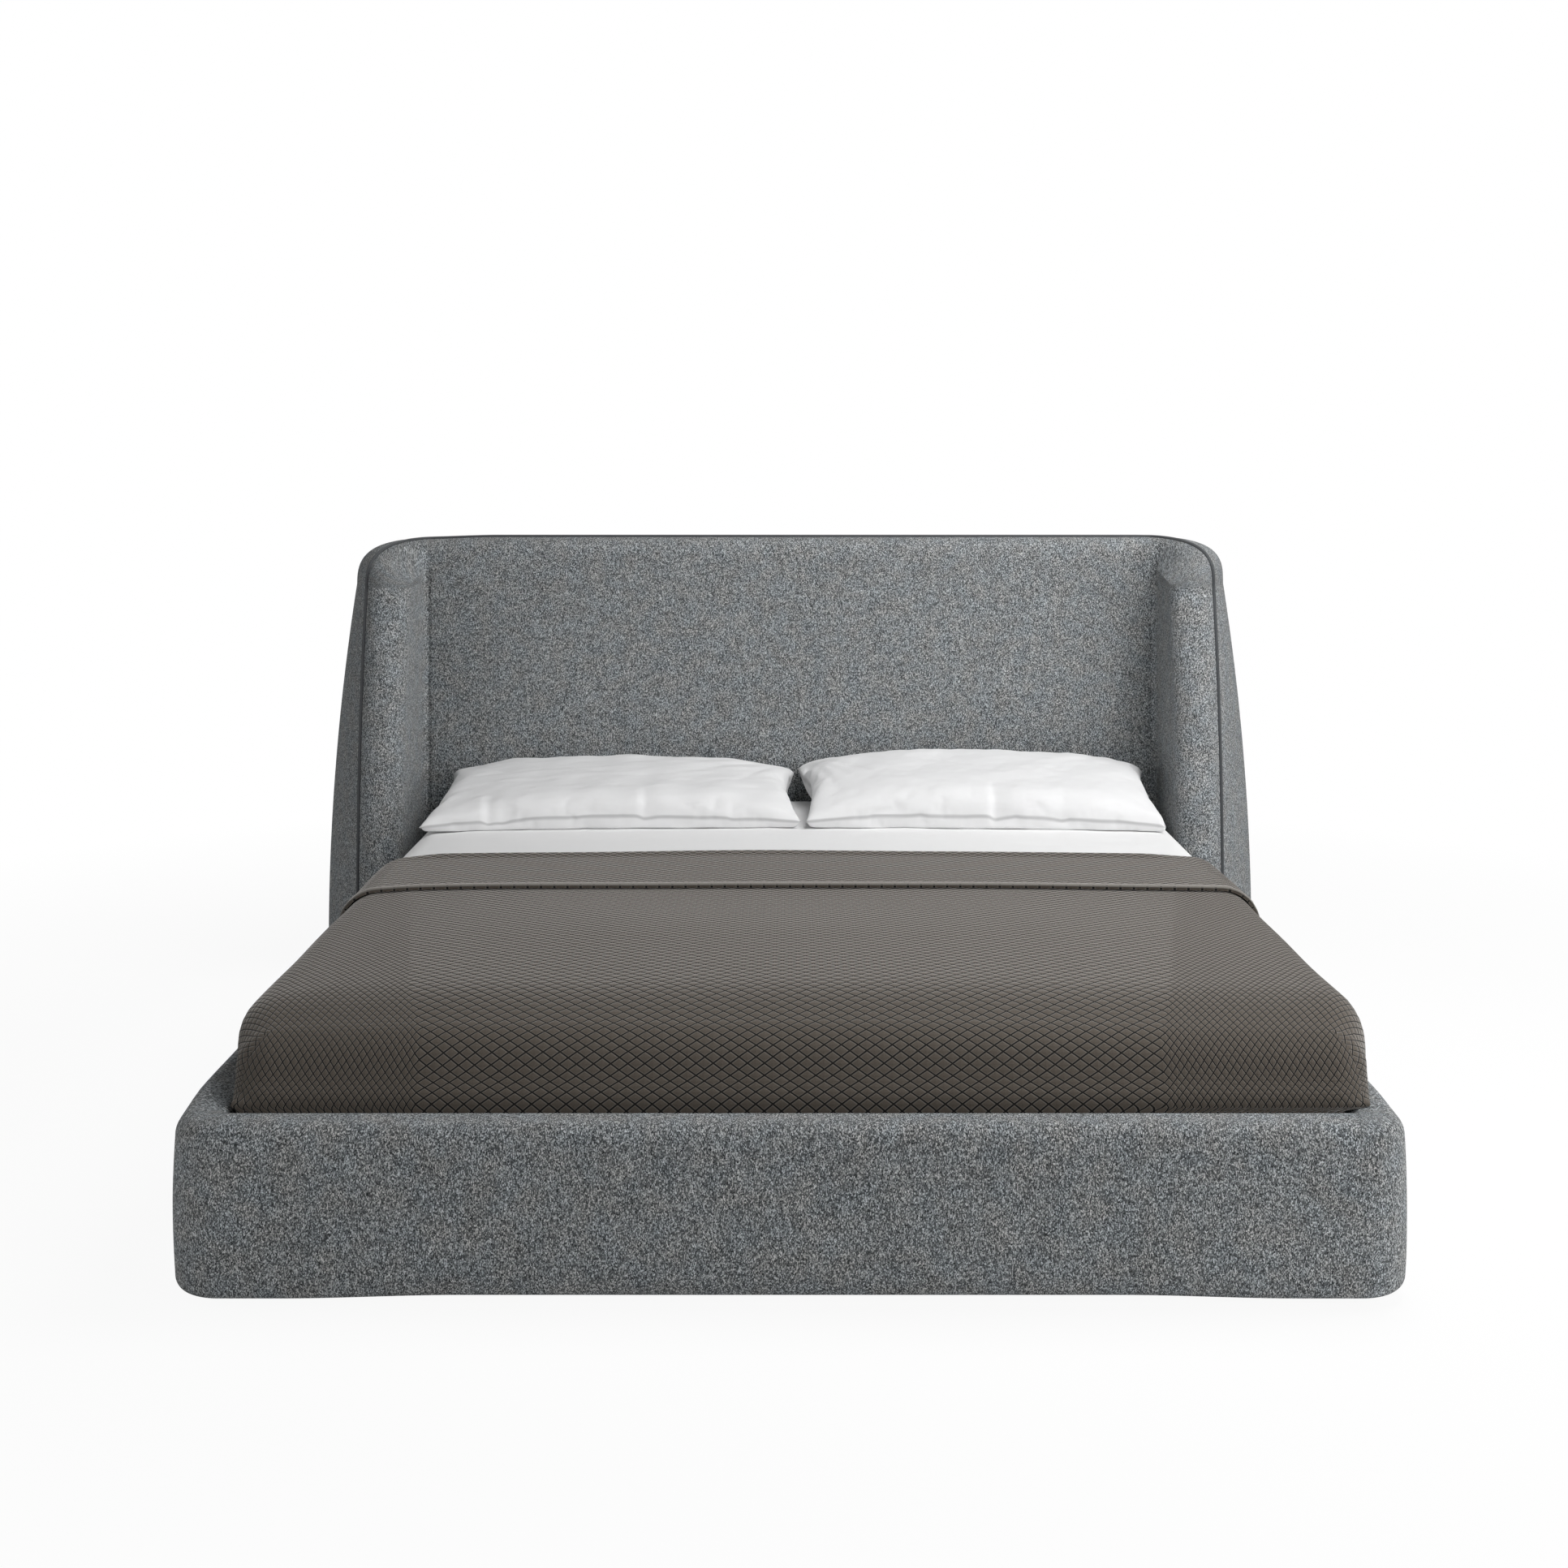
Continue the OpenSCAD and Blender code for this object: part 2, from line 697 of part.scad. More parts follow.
// A section's place on the right wing, and round its top corner
function on_wing(section, z) = [for (p = section)
    [seam_x + max(p[0], rest_gap / 3), panel_y - p[1], z]];
function turned(r1, r2, a) =
    pow(pow(cos(a) / r1, corner_power) + pow(sin(a) / r2, corner_power), -1 / corner_power);
function on_corner(wing, top, a) = let (hole = rest_gap / 3 + pivot_hole * sin(2 * a))
    [for (i = [0:len(wing) - 1])
        let (r = turned(max(wing[i][0], hole), max(top[i][0], hole), a),
            u = mix(wing[i][1], top[i][1], pow(sin(a), sweep_power)))
        [seam_x + r * cos(a), panel_y - u, pivot_z + r * sin(a)]];

module wing_padding() {
    color(fabric) loft(concat(
        [for (z = wing_zs) on_wing(wing_inner(z), z)],
        [for (a = corner_turns) on_corner(wing_inner(pivot_z), top_inner(), a)]));
}

module shell_padding() {
    color(fabric) loft(concat(
        [for (z = wing_zs) on_wing(wing_shell(z), z)],
        [for (a = corner_turns) on_corner(wing_shell(pivot_z), top_shell(), a)]));
}

// Straight run between the two wings, from a section in r and u
module between_wings(section) {
    color(fabric) translate([-seam_x, panel_y, pivot_z]) rotate([90, 0, 90])
        linear_extrude(2 * seam_x) polygon([for (p = section) [-p[1], p[0]]]);
}

module panel_padding() {
    section = concat([for (p = top_inner()) if (p[0] > 0) p],
        [[lower_rail_top - pivot_z, -panel_foam], [lower_rail_top - pivot_z, 0]]);
    between_wings(section);
}

module shell_padding_top() {
    between_wings(top_shell());
}

module back_cover() {
    right = concat([[seam_x + back_reach, headboard_z]],
        [for (a = concat([0], corner_turns)) let (r = turned(back_reach, back_reach, a))
            [seam_x + r * cos(a), pivot_z + r * sin(a)]]);
    color(plastic) translate([0, back_y, 0]) rotate([90, 0, 0])
        linear_extrude(back_t) polygon(concat(right, flip(mirrored(right))));
}

module wing_batten() {
    color(timber) block([seam_x, panel_y + panel_foam, headboard_z],
        [seam_x + board_r, back_y - back_t, pivot_z]);
}

// The wing's inner board: a side profile that follows the wing's front edge
module wing_board() {
    front = [for (z = wing_zs) [panel_y - wing_u(z) + front_set, z]];
    rear = [for (z = [pivot_z, headboard_z]) [back_y - back_t, z]];
    color(birch) translate([seam_x + board_r, 0, 0]) rotate([90, 0, 90])
        linear_extrude(wing_ply) polygon(concat(front, rear));
}

// The line of the shell padding's inner face at height z, moved inwards by d
function shell_face(z, d) = let (r = shell_r(z) - shell_foam, c = welt_c(z) - groove * welt_n,
    end = [r, shell_round - headboard_t]) [for (t = [0.35:0.35:0.7])
    curve(c, [r, 0.3 * wing_u(z)], end, t) - [d, 0]];

module shell_board() {
    rings = [for (z = wing_zs)
        let (outer = shell_face(z, 0), r = shell_r(z) - shell_foam,
            end = [r, shell_round - headboard_t])
        on_wing(concat(outer, [end, end - [shell_ply, 0]], flip(shell_face(z, shell_ply))), z)];
    color(birch) loft(rings);
}

// Shelf between the wing's two boards
module wing_ribs() {
    inner = board_r + wing_ply;
    rear = back_t - headboard_t;
    color(birch) for (z = rib_zs) {
        rings = [for (level = [z, z + wing_ply])
            let (face = shell_face(level, shell_ply + rest_gap),
                r = shell_r(level) - shell_foam - shell_ply - rest_gap)
            on_wing(concat([[inner, 0.9 * face[0][1]]], face,
                [[r, shell_round - headboard_t], [inner, shell_round - headboard_t]]), level)];
        loft(rings);
    }
}

// Section of the welt round its middle c, its seam's normal along n
function welt_section(c, n) = [for (k = [0:7])
    c + welt_r * (cos(45 * k) * n + sin(45 * k) * [n[1], -n[0]])];

module welt_piping() {
    right = concat([for (z = wing_zs) on_wing(welt_section(welt_c(z), welt_n), z)],
        [for (a = corner_turns) on_corner(welt_section(welt_c(pivot_z), welt_n),
            welt_section(top_c, [1, 0]), a)]);
    left = [for (ring = flip(right)) across(ring)];
    color(piping) loft(concat(right, left));
}

// The mattress's outline, moved outwards by o and inwards by d at the sides and the foot
function outline_corner(sx, sy, o, from) = let (r = mattress_corner + o)
    [for (p = arc([sx * (mattress_w / 2 - mattress_corner), sy], [r, r], from, from + 90, 5)) p];
function outline(o) = let (foot = mattress_foot + mattress_corner,
    head = mattress_head - mattress_corner) concat(
    outline_corner(-1, foot, o, 180), outline_corner(1, foot, o, 270),
    outline_corner(1, head, o, 0), outline_corner(-1, head, o, 90));
function at_z(points, z) = [for (p = points) [p[0], p[1], z]];

edge_turns = [0, 22.5, 45, 67.5, 90];

// Rings over the mattress's top edge at o outside the mattress
function edge_rings(o) = let (r = mattress_edge + o) [for (a = edge_turns)
    at_z(outline(r * cos(a) - mattress_edge), mattress_top - mattress_edge + r * sin(a))];

module mattress_core() {
    side = ticking_t + mattress_edge / 2;
    color(linen)
        translate([0, (mattress_foot + mattress_head) / 2, mattress_base + ticking_t])
            linear_extrude(mattress_h - 2 * ticking_t)
                rounded(mattress_w - 2 * side, mattress_l - 2 * side, mattress_corner);
}

module rounded(w, l, r) {
    hull_x = w / 2 - r;
    hull_y = l / 2 - r;
    union() {
        square([w - 2 * r, l], center = true);
        square([w, l - 2 * r], center = true);
        for (x = [-hull_x, hull_x], y = [-hull_y, hull_y]) translate([x, y]) circle(r);
    }
}

module mattress_cover() {
    low = mattress_edge;
    bottom = [for (a = flip(edge_turns)) at_z(outline(low * cos(a) - low),
        mattress_base + low * (1 - sin(a)))];
    color(linen) difference() {
        loft(concat(bottom, edge_rings(0)));
        mattress_core();
    }
}

module fitted_sheet() {
    low = mattress_base + mattress_edge + sheet_lift;
    inner = concat([at_z(outline(0), low)], edge_rings(0));
    outer = concat([at_z(outline(sheet_t), low)], edge_rings(sheet_t));
    color(linen) loft(concat(flip(inner), outer));
}

fold_y = panel_y - turn_down;
hem_y = fold_y - fold_back;
band_y = hem_y + hem_w;
// Heights on the coverlet's sides: tucked edge, and the start and end of the doubled part
tuck_z = mattress_base + mattress_edge + tuck_lift;
double_from = rail_top + side_clear;
double_to = double_from + double_ramp;

// Places along the coverlet's side, with the share of the second layer that lies there
side_places = [[fold_y, 0.1], [fold_y - 0.3 * coverlet_t, 0.7], [fold_y - coverlet_t, 1],
    [band_y, 1], [band_y - single_step, 0], [mattress_foot + mattress_corner, 0]];

// One level of the coverlet: o outside the mattress, extra for the second layer, in by d,
// and out as the share of the sides' bulge
function cover_level(o, extra, d, z, lift, out) = let (
    side = [for (p = side_places) [mattress_w / 2 + o - d + extra * p[1], p[0],
        z + lift * p[1]]],
    r = mattress_corner + o - d,
    bend = [for (p = arc([mattress_w / 2 - mattress_corner, mattress_foot + mattress_corner],
        [r, r], 0, -90, 5)) [p[0], p[1], z]],
    right = concat(side, [for (i = [1:5]) bend[i]]),
    left = [for (p = right) [-p[0] - out * bulge_left, p[1], p[2]]])
    concat(left, [for (p = flip(right)) p + [out * bulge_right, 0, 0]]);
function cover_levels(o, extra) = concat(
    [cover_level(o, 0, 0, tuck_z, 0, 0), cover_level(o, 0, 0, double_from, 0, 0),
        cover_level(o, extra, 0, double_to, 0, 1)],
    [for (a = edge_turns) let (r = mattress_edge + o)
        cover_level(o, extra * cos(a), r * (1 - cos(a)),
            mattress_top - mattress_edge + r * sin(a), extra * sin(a), 1)]);

module coverlet() {
    outer = cover_levels(sheet_t + coverlet_t, coverlet_t);
    inner = cover_levels(sheet_t, 0);
    m = len(outer[0]);
    n = len(outer);
    s = len(side_places) - 1;
    top = (n - 1) * m;
    far = n * m;
    walls = [for (k = [0:n - 2]) for (j = [0:m - 2])
        let (a = k * m + j, b = a + m)
        each [[a, b, b + 1], [a, b + 1, a + 1],
            [far + a, far + a + 1, far + b + 1], [far + a, far + b + 1, far + b]]];
    rim = [for (j = [0:m - 2]) each [[j, j + 1, far + j + 1], [j, far + j + 1, far + j]]];
    ends = [for (k = [0:n - 2]) let (a = k * m, b = a + m - 1)
        each [[a, far + a, far + a + m], [a, far + a + m, a + m],
            [b, b + m, far + b + m], [b, far + b + m, far + b]]];
    strips = [for (j = [0:s - 1]) let (a = top + j, b = top + m - 1 - j)
        each [[a, b, b - 1], [a, b - 1, a + 1],
            [far + a + 1, far + b - 1, far + b], [far + a + 1, far + b, far + a]]];
    front = [[for (j = [m - 1 - s:-1:s]) top + j], [for (j = [s:m - 1 - s]) far + top + j]];
    edge = [[top, far + top, far + top + m - 1], [top, far + top + m - 1, top + m - 1]];
    color(quilt) polyhedron([for (level = concat(outer, inner)) each level],
        concat(walls, rim, ends, strips, front, edge), convexity = 8);
}

// Plain strip along the folded-back part's hem, over the mattress from side to side
module coverlet_hem() {
    to = band_y - single_step - rest_gap;
    r = mattress_edge + sheet_t + coverlet_t;
    inner = hem_side(r, bulge_right);
    outer = hem_side(r + hem_t, bulge_right);
    color(quilt) translate([0, to, 0]) rotate([90, 0, 0]) linear_extrude(to - hem_y)
        polygon(concat(inner, flip(mirrored(hem_side(r, bulge_left))),
            mirrored(hem_side(r + hem_t, bulge_left)), flip(outer)));
}

// One side of the hem strip's section, at r from the mattress's edge, standing out by out
function hem_side(r, out) = let (c = mattress_w / 2 - mattress_edge + out)
    concat([[c + r, double_to]], arc([c, mattress_top - mattress_edge], [r, r], 0, 90, 4));
function mirrored(list) = [for (p = list) [-p[0], p[1]]];

pillow_z = mattress_top + sheet_t + rest_gap;
pillow_c = [(pillow_gap + pillow_w * cos(pillow_turn) + pillow_l * sin(pillow_turn)) / 2,
    panel_y - head_clear - (pillow_l * cos(pillow_turn) + pillow_w * sin(pillow_turn)) / 2];
pillow_steps = 8;

// A pillow's outline with drawn-in sides, from 0 at its middle to 1 at its seam
function pillow_outline(w, l, q) = [for (edge = [0:3]) for (i = [0:pillow_steps - 1])
    let (t = 2 * i / pillow_steps - 1, in = pillow_draw * (1 - t * t),
        p = edge == 0 ? [t * w / 2, in - l / 2] : edge == 1 ? [w / 2 - in, t * l / 2]
            : edge == 2 ? [-t * w / 2, l / 2 - in] : [in - w / 2, -t * l / 2],
        soft = pow(pow(abs(2 * p[0] / w), 3) + pow(abs(2 * p[1] / l), 3), -1 / 3))
    q * mix(soft, 1, q * q) * p];
function pillow_rings(in) = let (w = pillow_w - 2 * in, l = pillow_l - 2 * in,
    up = pillow_h - pillow_seam_h - in, down = pillow_seam_h - in) concat(
    [for (q = [0.25, 0.6, 0.78, 0.9, 0.97]) at_z(pillow_outline(w, l, q),
        pillow_seam_h - down * min(1, 1.25 * pow(1 - pow(q, 4), 0.6)))],
    [at_z(pillow_outline(w, l, 1), pillow_seam_h)],
    [for (q = [0.97, 0.9, 0.79, 0.65, 0.47, 0.25]) at_z(pillow_outline(w, l, q),
        pillow_seam_h + up * pow(1 - pow(q, 2.6), 0.6))]);

module at_pillow(side) {
    translate([pillow_shift + side * pillow_c[0], pillow_c[1], pillow_z])
        rotate([0, 0, -side * pillow_turn]) children();
}

module pillow_fill(side) {
    color(linen) at_pillow(side) loft(pillow_rings(case_t));
}

module pillowcase(side) {
    color(linen) at_pillow(side) difference() {
        loft(pillow_rings(0));
        loft(pillow_rings(case_t));
    }
}

foot_rail_board();
left_hand() side_rail_board();  // side_rail_board_left
side_rail_board();  // side_rail_board_right
foot_rail_padding();
left_hand() side_rail_padding();  // side_rail_padding_left
side_rail_padding();  // side_rail_padding_right
corner_blocks();
corner_bolts();
corner_feet();
foot_glides();
left_hand() ledger();  // ledger_left
ledger();  // ledger_right
ledger_screws();
centre_beam();
beam_hangers();
centre_legs();
leg_glides();
left_hand() slats();  // slats_left
slats();  // slats_right
slat_holders_side();
slat_holders_centre();
left_hand() headboard_post();  // headboard_post_left
headboard_post();  // headboard_post_right
headboard_cross_rail(frame_top - cross_h);  // headboard_top_rail
headboard_cross_rail(headboard_z);  // headboard_bottom_rail
headboard_lower_rail();
headboard_panel();
headboard_glides();
headboard_brackets();
headboard_bolts();
left_hand() wing_batten();  // wing_batten_left
wing_batten();  // wing_batten_right
left_hand() wing_board();  // wing_board_left
wing_board();  // wing_board_right
left_hand() shell_board();  // shell_board_left
shell_board();  // shell_board_right
left_hand() wing_ribs();  // wing_ribs_left
wing_ribs();  // wing_ribs_right
panel_padding();
left_hand() wing_padding();  // wing_padding_left
wing_padding();  // wing_padding_right
left_hand() shell_padding();  // shell_padding_left
shell_padding();  // shell_padding_right
shell_padding_top();
back_cover();
welt_piping();
mattress_core();
mattress_cover();
fitted_sheet();
coverlet();
coverlet_hem();
pillow_fill(-1);  // pillow_fill_left
pillow_fill(1);  // pillow_fill_right
pillowcase(-1);  // pillowcase_left
pillowcase(1);  // pillowcase_right
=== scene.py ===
"""Upholstered double bed with a winged headboard, dressed over its CAD frame."""
import logging
import math
from dataclasses import dataclass, field
from enum import Enum
from typing import Callable, Sequence

import bmesh
import bpy
import numpy as np
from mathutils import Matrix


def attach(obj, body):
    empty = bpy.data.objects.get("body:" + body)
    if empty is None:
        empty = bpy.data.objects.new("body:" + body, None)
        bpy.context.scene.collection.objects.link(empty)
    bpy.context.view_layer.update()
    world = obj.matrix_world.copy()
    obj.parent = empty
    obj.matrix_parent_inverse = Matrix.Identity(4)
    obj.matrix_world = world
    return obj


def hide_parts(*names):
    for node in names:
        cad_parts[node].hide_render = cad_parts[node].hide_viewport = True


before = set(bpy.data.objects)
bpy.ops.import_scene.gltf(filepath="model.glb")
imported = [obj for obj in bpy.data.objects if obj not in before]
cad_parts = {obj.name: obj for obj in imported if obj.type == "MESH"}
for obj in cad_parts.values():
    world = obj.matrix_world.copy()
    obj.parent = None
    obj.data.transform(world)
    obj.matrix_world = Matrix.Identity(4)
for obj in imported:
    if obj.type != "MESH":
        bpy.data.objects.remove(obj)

log = logging.getLogger("bed")
Array = np.ndarray
Colour = tuple[float, float, float]
MERGE_AT = 0.00005


class Body(Enum):
    """The CAD bodies that a piece can ride on."""

    BED = "bed"
    MATTRESS = "mattress"
    PILLOW_LEFT = "pillow_left"
    PILLOW_RIGHT = "pillow_right"


class Side(Enum):
    """Left or right, as seen from the foot of the bed."""

    LEFT = -1
    RIGHT = 1


def mix(a: float | Array, b: float | Array, t: float | Array) -> float | Array:
    """Value between a and b at share t."""
    return a + (b - a) * t


def smooth(t: float | Array) -> float | Array:
    """Eased share, from 0 to 1."""
    t = np.clip(t, 0.0, 1.0)
    return t * t * (3 - 2 * t)


def arc(c: Sequence[float], r: Sequence[float], start: float, end: float, steps: int) -> Array:
    """Points on an arc.

    Args:
        c: Middle.
        r: Radius along each axis.
        start: First direction in degrees.
        end: Last direction in degrees.
        steps: Number of steps.

    Returns:
        The points, one a row.
    """
    a = np.radians(np.linspace(start, end, steps + 1))
    return np.stack([c[0] + r[0] * np.cos(a), c[1] + r[1] * np.sin(a)], 1)


def bezier(points: Sequence[Sequence[float]], t: Array) -> Array:
    """Points at shares t on the Bezier curve through its control points."""
    level = [np.asarray(p, float)[None, :] for p in points]
    t = np.asarray(t, float)[:, None]
    while len(level) > 1:
        level = [mix(a, b, t) for a, b in zip(level, level[1:])]
    return np.broadcast_to(level[0], (len(t), level[0].shape[1])).copy()


def lengths(points: Array) -> Array:
    """Distance along a line of points, from 0."""
    steps = np.linalg.norm(np.diff(points, axis=0), axis=1)
    return np.concatenate([[0.0], np.cumsum(steps)])


def waves(x: Array, y: Array, seed: int, size: float, count: int = 7) -> Array:
    """Smooth uneven field between about -1 and 1.

    Args:
        x: First coordinate in metres.
        y: Second coordinate in metres.
        seed: Fixed seed.
        size: Typical size of a hump in metres.
        count: Number of waves that are added up.

    Returns:
        The field at each point.
    """
    rng = np.random.default_rng(seed)
    total = np.zeros(np.broadcast(x, y).shape)
    for _ in range(count):
        a = rng.uniform(0, math.tau)
        k = math.tau / (size * rng.uniform(0.7, 2.2))
        total = total + np.sin(k * (x * math.cos(a) + y * math.sin(a)) + rng.uniform(0, math.tau))
    return total / math.sqrt(count) / 1.4


@dataclass
class Shape:
    """Vertices, faces and a UV map in metres, gathered from several patches."""

    points: list[Array] = field(default_factory=list)
    faces: list[tuple[int, ...]] = field(default_factory=list)
    uvs: list[tuple[float, float]] = field(default_factory=list)
    total: int = 0

    def grid(self, pts: Array, uv: Array, closed: bool = False) -> Array:
        """Adds a grid of quads.

        Args:
            pts: Points, rows by columns by 3.
            uv: UVs, rows by columns by 2, with one column more if closed.
            closed: Whether the last column joins the first.

        Returns:
            The grid's vertex indices.
        """
        n, m = pts.shape[:2]
        index = np.arange(n * m).reshape(n, m) + self.total
        self.points.append(pts.reshape(-1, 3))
        self.total += n * m
        for i in range(n - 1):
            for j in range(m if closed else m - 1):
                k = (j + 1) % m
                self.faces.append((index[i, j], index[i + 1, j], index[i + 1, k], index[i, k]))
                self.uvs += [tuple(uv[i, j]), tuple(uv[i + 1, j]), tuple(uv[i + 1, j + 1]),
                             tuple(uv[i, j + 1])]
        return index

    def cap(self, ring: Array, uv: Array) -> None:
        """Closes a ring of vertex indices with one face."""
        self.faces.append(tuple(int(i) for i in ring))
        self.uvs += [tuple(p) for p in uv[: len(ring)]]

    def build(self, name: str, material: bpy.types.Material, sharp: float = 40.0,
              merge: float = 0.0, closed: bool = True) -> bpy.types.Object:
        """Makes the object.

        Args:
            name: Name of the piece.
            material: Its finish.
            sharp: Angle in degrees past which an edge is shaded sharp.
            merge: Distance under which vertices become one, or 0 for none.
            closed: Whether faces are turned outwards now.

        Returns:
            The new object, at the origin.
        """
        mesh = bpy.data.meshes.new(name)
        mesh.from_pydata(np.concatenate(self.points).tolist(), [], self.faces)
        layer = mesh.uv_layers.new(name="cloth")
        layer.data.foreach_set("uv", np.asarray(self.uvs, np.float32).ravel())
        if merge or closed:
            tidy(mesh, merge)
        return shown(name, mesh, material, sharp)


def tidy(mesh: bpy.types.Mesh, merge: float = 0.0) -> None:
    """Merges a mesh's doubles and turns its faces outwards."""
    work = bmesh.new()
    work.from_mesh(mesh)
    if merge:
        bmesh.ops.remove_doubles(work, verts=work.verts, dist=merge)
    bmesh.ops.recalc_face_normals(work, faces=work.faces)
    work.to_mesh(mesh)
    work.free()


def shown(name: str, mesh: bpy.types.Mesh, material: bpy.types.Material,
          sharp: float = 40.0) -> bpy.types.Object:
    """Links a mesh as a smooth-shaded object with one finish."""
    mesh.name = name
    piece = bpy.data.objects.new(name, mesh)
    bpy.context.scene.collection.objects.link(piece)
    mesh.materials.clear()
    mesh.materials.append(material)
    mesh.shade_smooth()
    mesh.set_sharp_from_angle(angle=math.radians(sharp))
    return piece


def flattened(piece: bpy.types.Object) -> None:
    """Applies every modifier of a piece to its mesh."""
    graph = bpy.context.evaluated_depsgraph_get()
    mesh = bpy.data.meshes.new_from_object(piece.evaluated_get(graph))
    old = piece.data
    piece.modifiers.clear()
    piece.data = mesh
    bpy.data.meshes.remove(old)


def carried(piece: bpy.types.Object, body: Body, slot: str, *nodes: str) -> bpy.types.Object:
    """Lets a piece ride on a body and hides the solids it stands for."""
    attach(piece, body.value)
    if nodes:
        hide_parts(*nodes)
    log.info("%s: %d faces", piece.name, len(piece.data.polygons))
    return piece


Socket = bpy.types.NodeSocket


class Graph:
    """A node material that is built up step by step."""

    def __init__(self, name: str) -> None:
        """Starts a material with its standard shader."""
        self.material = bpy.data.materials.new(name)
        self.material.use_nodes = True
        self.tree = self.material.node_tree
        self.shader = self.tree.nodes["Principled BSDF"]

    def feed(self, socket: Socket, value: object) -> None:
        """Links a socket, or sets its value."""
        if isinstance(value, Socket):
            self.tree.links.new(value, socket)
        elif isinstance(value, tuple) and len(value) == 3 and socket.type == "RGBA":
            socket.default_value = (*value, 1.0)
        else:
            socket.default_value = value

    def node(self, kind: str, inputs: dict[int | str, object] | None = None,
             **settings: object) -> bpy.types.Node:
        """Adds a node.

        Args:
            kind: The node's type.
            inputs: Values or links for its inputs, by index or name.
            **settings: The node's own settings.

        Returns:
            The node.
        """
        made = self.tree.nodes.new(kind)
        for key, value in settings.items():
            setattr(made, key, value)
        for key, value in (inputs or {}).items():
            self.feed(made.inputs[key], value)
        return made

    def math(self, operation: str, a: object, b: object = 0.0, c: object = 0.0) -> Socket:
        """Adds a math node and returns its result."""
        return self.node("ShaderNodeMath", {0: a, 1: b, 2: c}, operation=operation).outputs[0]

    def cloth_uv(self) -> tuple[Socket, Socket]:
        """Returns the two coordinates of the piece's UV map, in metres."""
        uv = self.node("ShaderNodeUVMap", uv_map="cloth").outputs[0]
        parts = self.node("ShaderNodeSeparateXYZ", {0: uv}).outputs
        return parts[0], parts[1]

    def pair(self, x: object, y: object, z: object = 0.0) -> Socket:
        """Joins coordinates to a vector."""
        return self.node("ShaderNodeCombineXYZ", {0: x, 1: y, 2: z}).outputs[0]

    def place(self) -> Socket:
        """Returns the Object coordinates."""
        return self.node("ShaderNodeTexCoord").outputs["Object"]

    def noise(self, vector: Socket, scale: float, detail: float = 2.0,
              rough: float = 0.5) -> Socket:
        """Adds noise and returns its value."""
        return self.node("ShaderNodeTexNoise", {"Vector": vector, "Scale": scale,
                         "Detail": detail, "Roughness": rough}).outputs[0]

    def white(self, vector: Socket) -> Socket:
        """Adds white noise on a vector's whole cells and returns its value."""
        return self.node("ShaderNodeTexWhiteNoise", {"Vector": vector}).outputs[0]

    def ramp(self, value: Socket, stops: Sequence[tuple[float, Colour]]) -> Socket:
        """Adds a colour ramp and returns its colour."""
        made = self.node("ShaderNodeValToRGB", {0: value})
        bar = made.color_ramp.elements
        for _ in range(len(stops) - 2):
            bar.new(0.5)
        for stop, (place, colour) in zip(bar, stops):
            stop.position = place
            stop.color = (*colour, 1.0)
        return made.outputs[0]

    def blend(self, share: object, a: object, b: object, how: str = "MIX") -> Socket:
        """Mixes two colours and returns the result."""
        made = self.node("ShaderNodeMix", data_type="RGBA", blend_type=how)
        for index, value in ((0, share), (6, a), (7, b)):
            self.feed(made.inputs[index], value)
        return made.outputs[2]

    def bump(self, height: Socket, depth: float, strength: float = 1.0,
             normal: Socket | None = None) -> Socket:
        """Adds a bump of a real depth in metres and returns the normal."""
        made = self.node("ShaderNodeBump", {"Height": height, "Distance": depth,
                                            "Strength": strength})
        if normal is not None:
            self.feed(made.inputs["Normal"], normal)
        return made.outputs[0]

    def finish(self, colour: object, rough: object, normal: Socket | None = None,
               **plain: float | tuple[float, ...]) -> bpy.types.Material:
        """Feeds the shader.

        Args:
            colour: Base colour.
            rough: Roughness.
            normal: Bumped normal.
            **plain: Further sockets of the shader, by name with _ for a space.

        Returns:
            The material.
        """
        self.feed(self.shader.inputs["Base Color"], colour)
        self.feed(self.shader.inputs["Roughness"], rough)
        if normal is not None:
            self.feed(self.shader.inputs["Normal"], normal)
        for key, value in plain.items():
            self.feed(self.shader.inputs[key.replace("_", " ").title().replace("Ior", "IOR")], value)
        return self.material


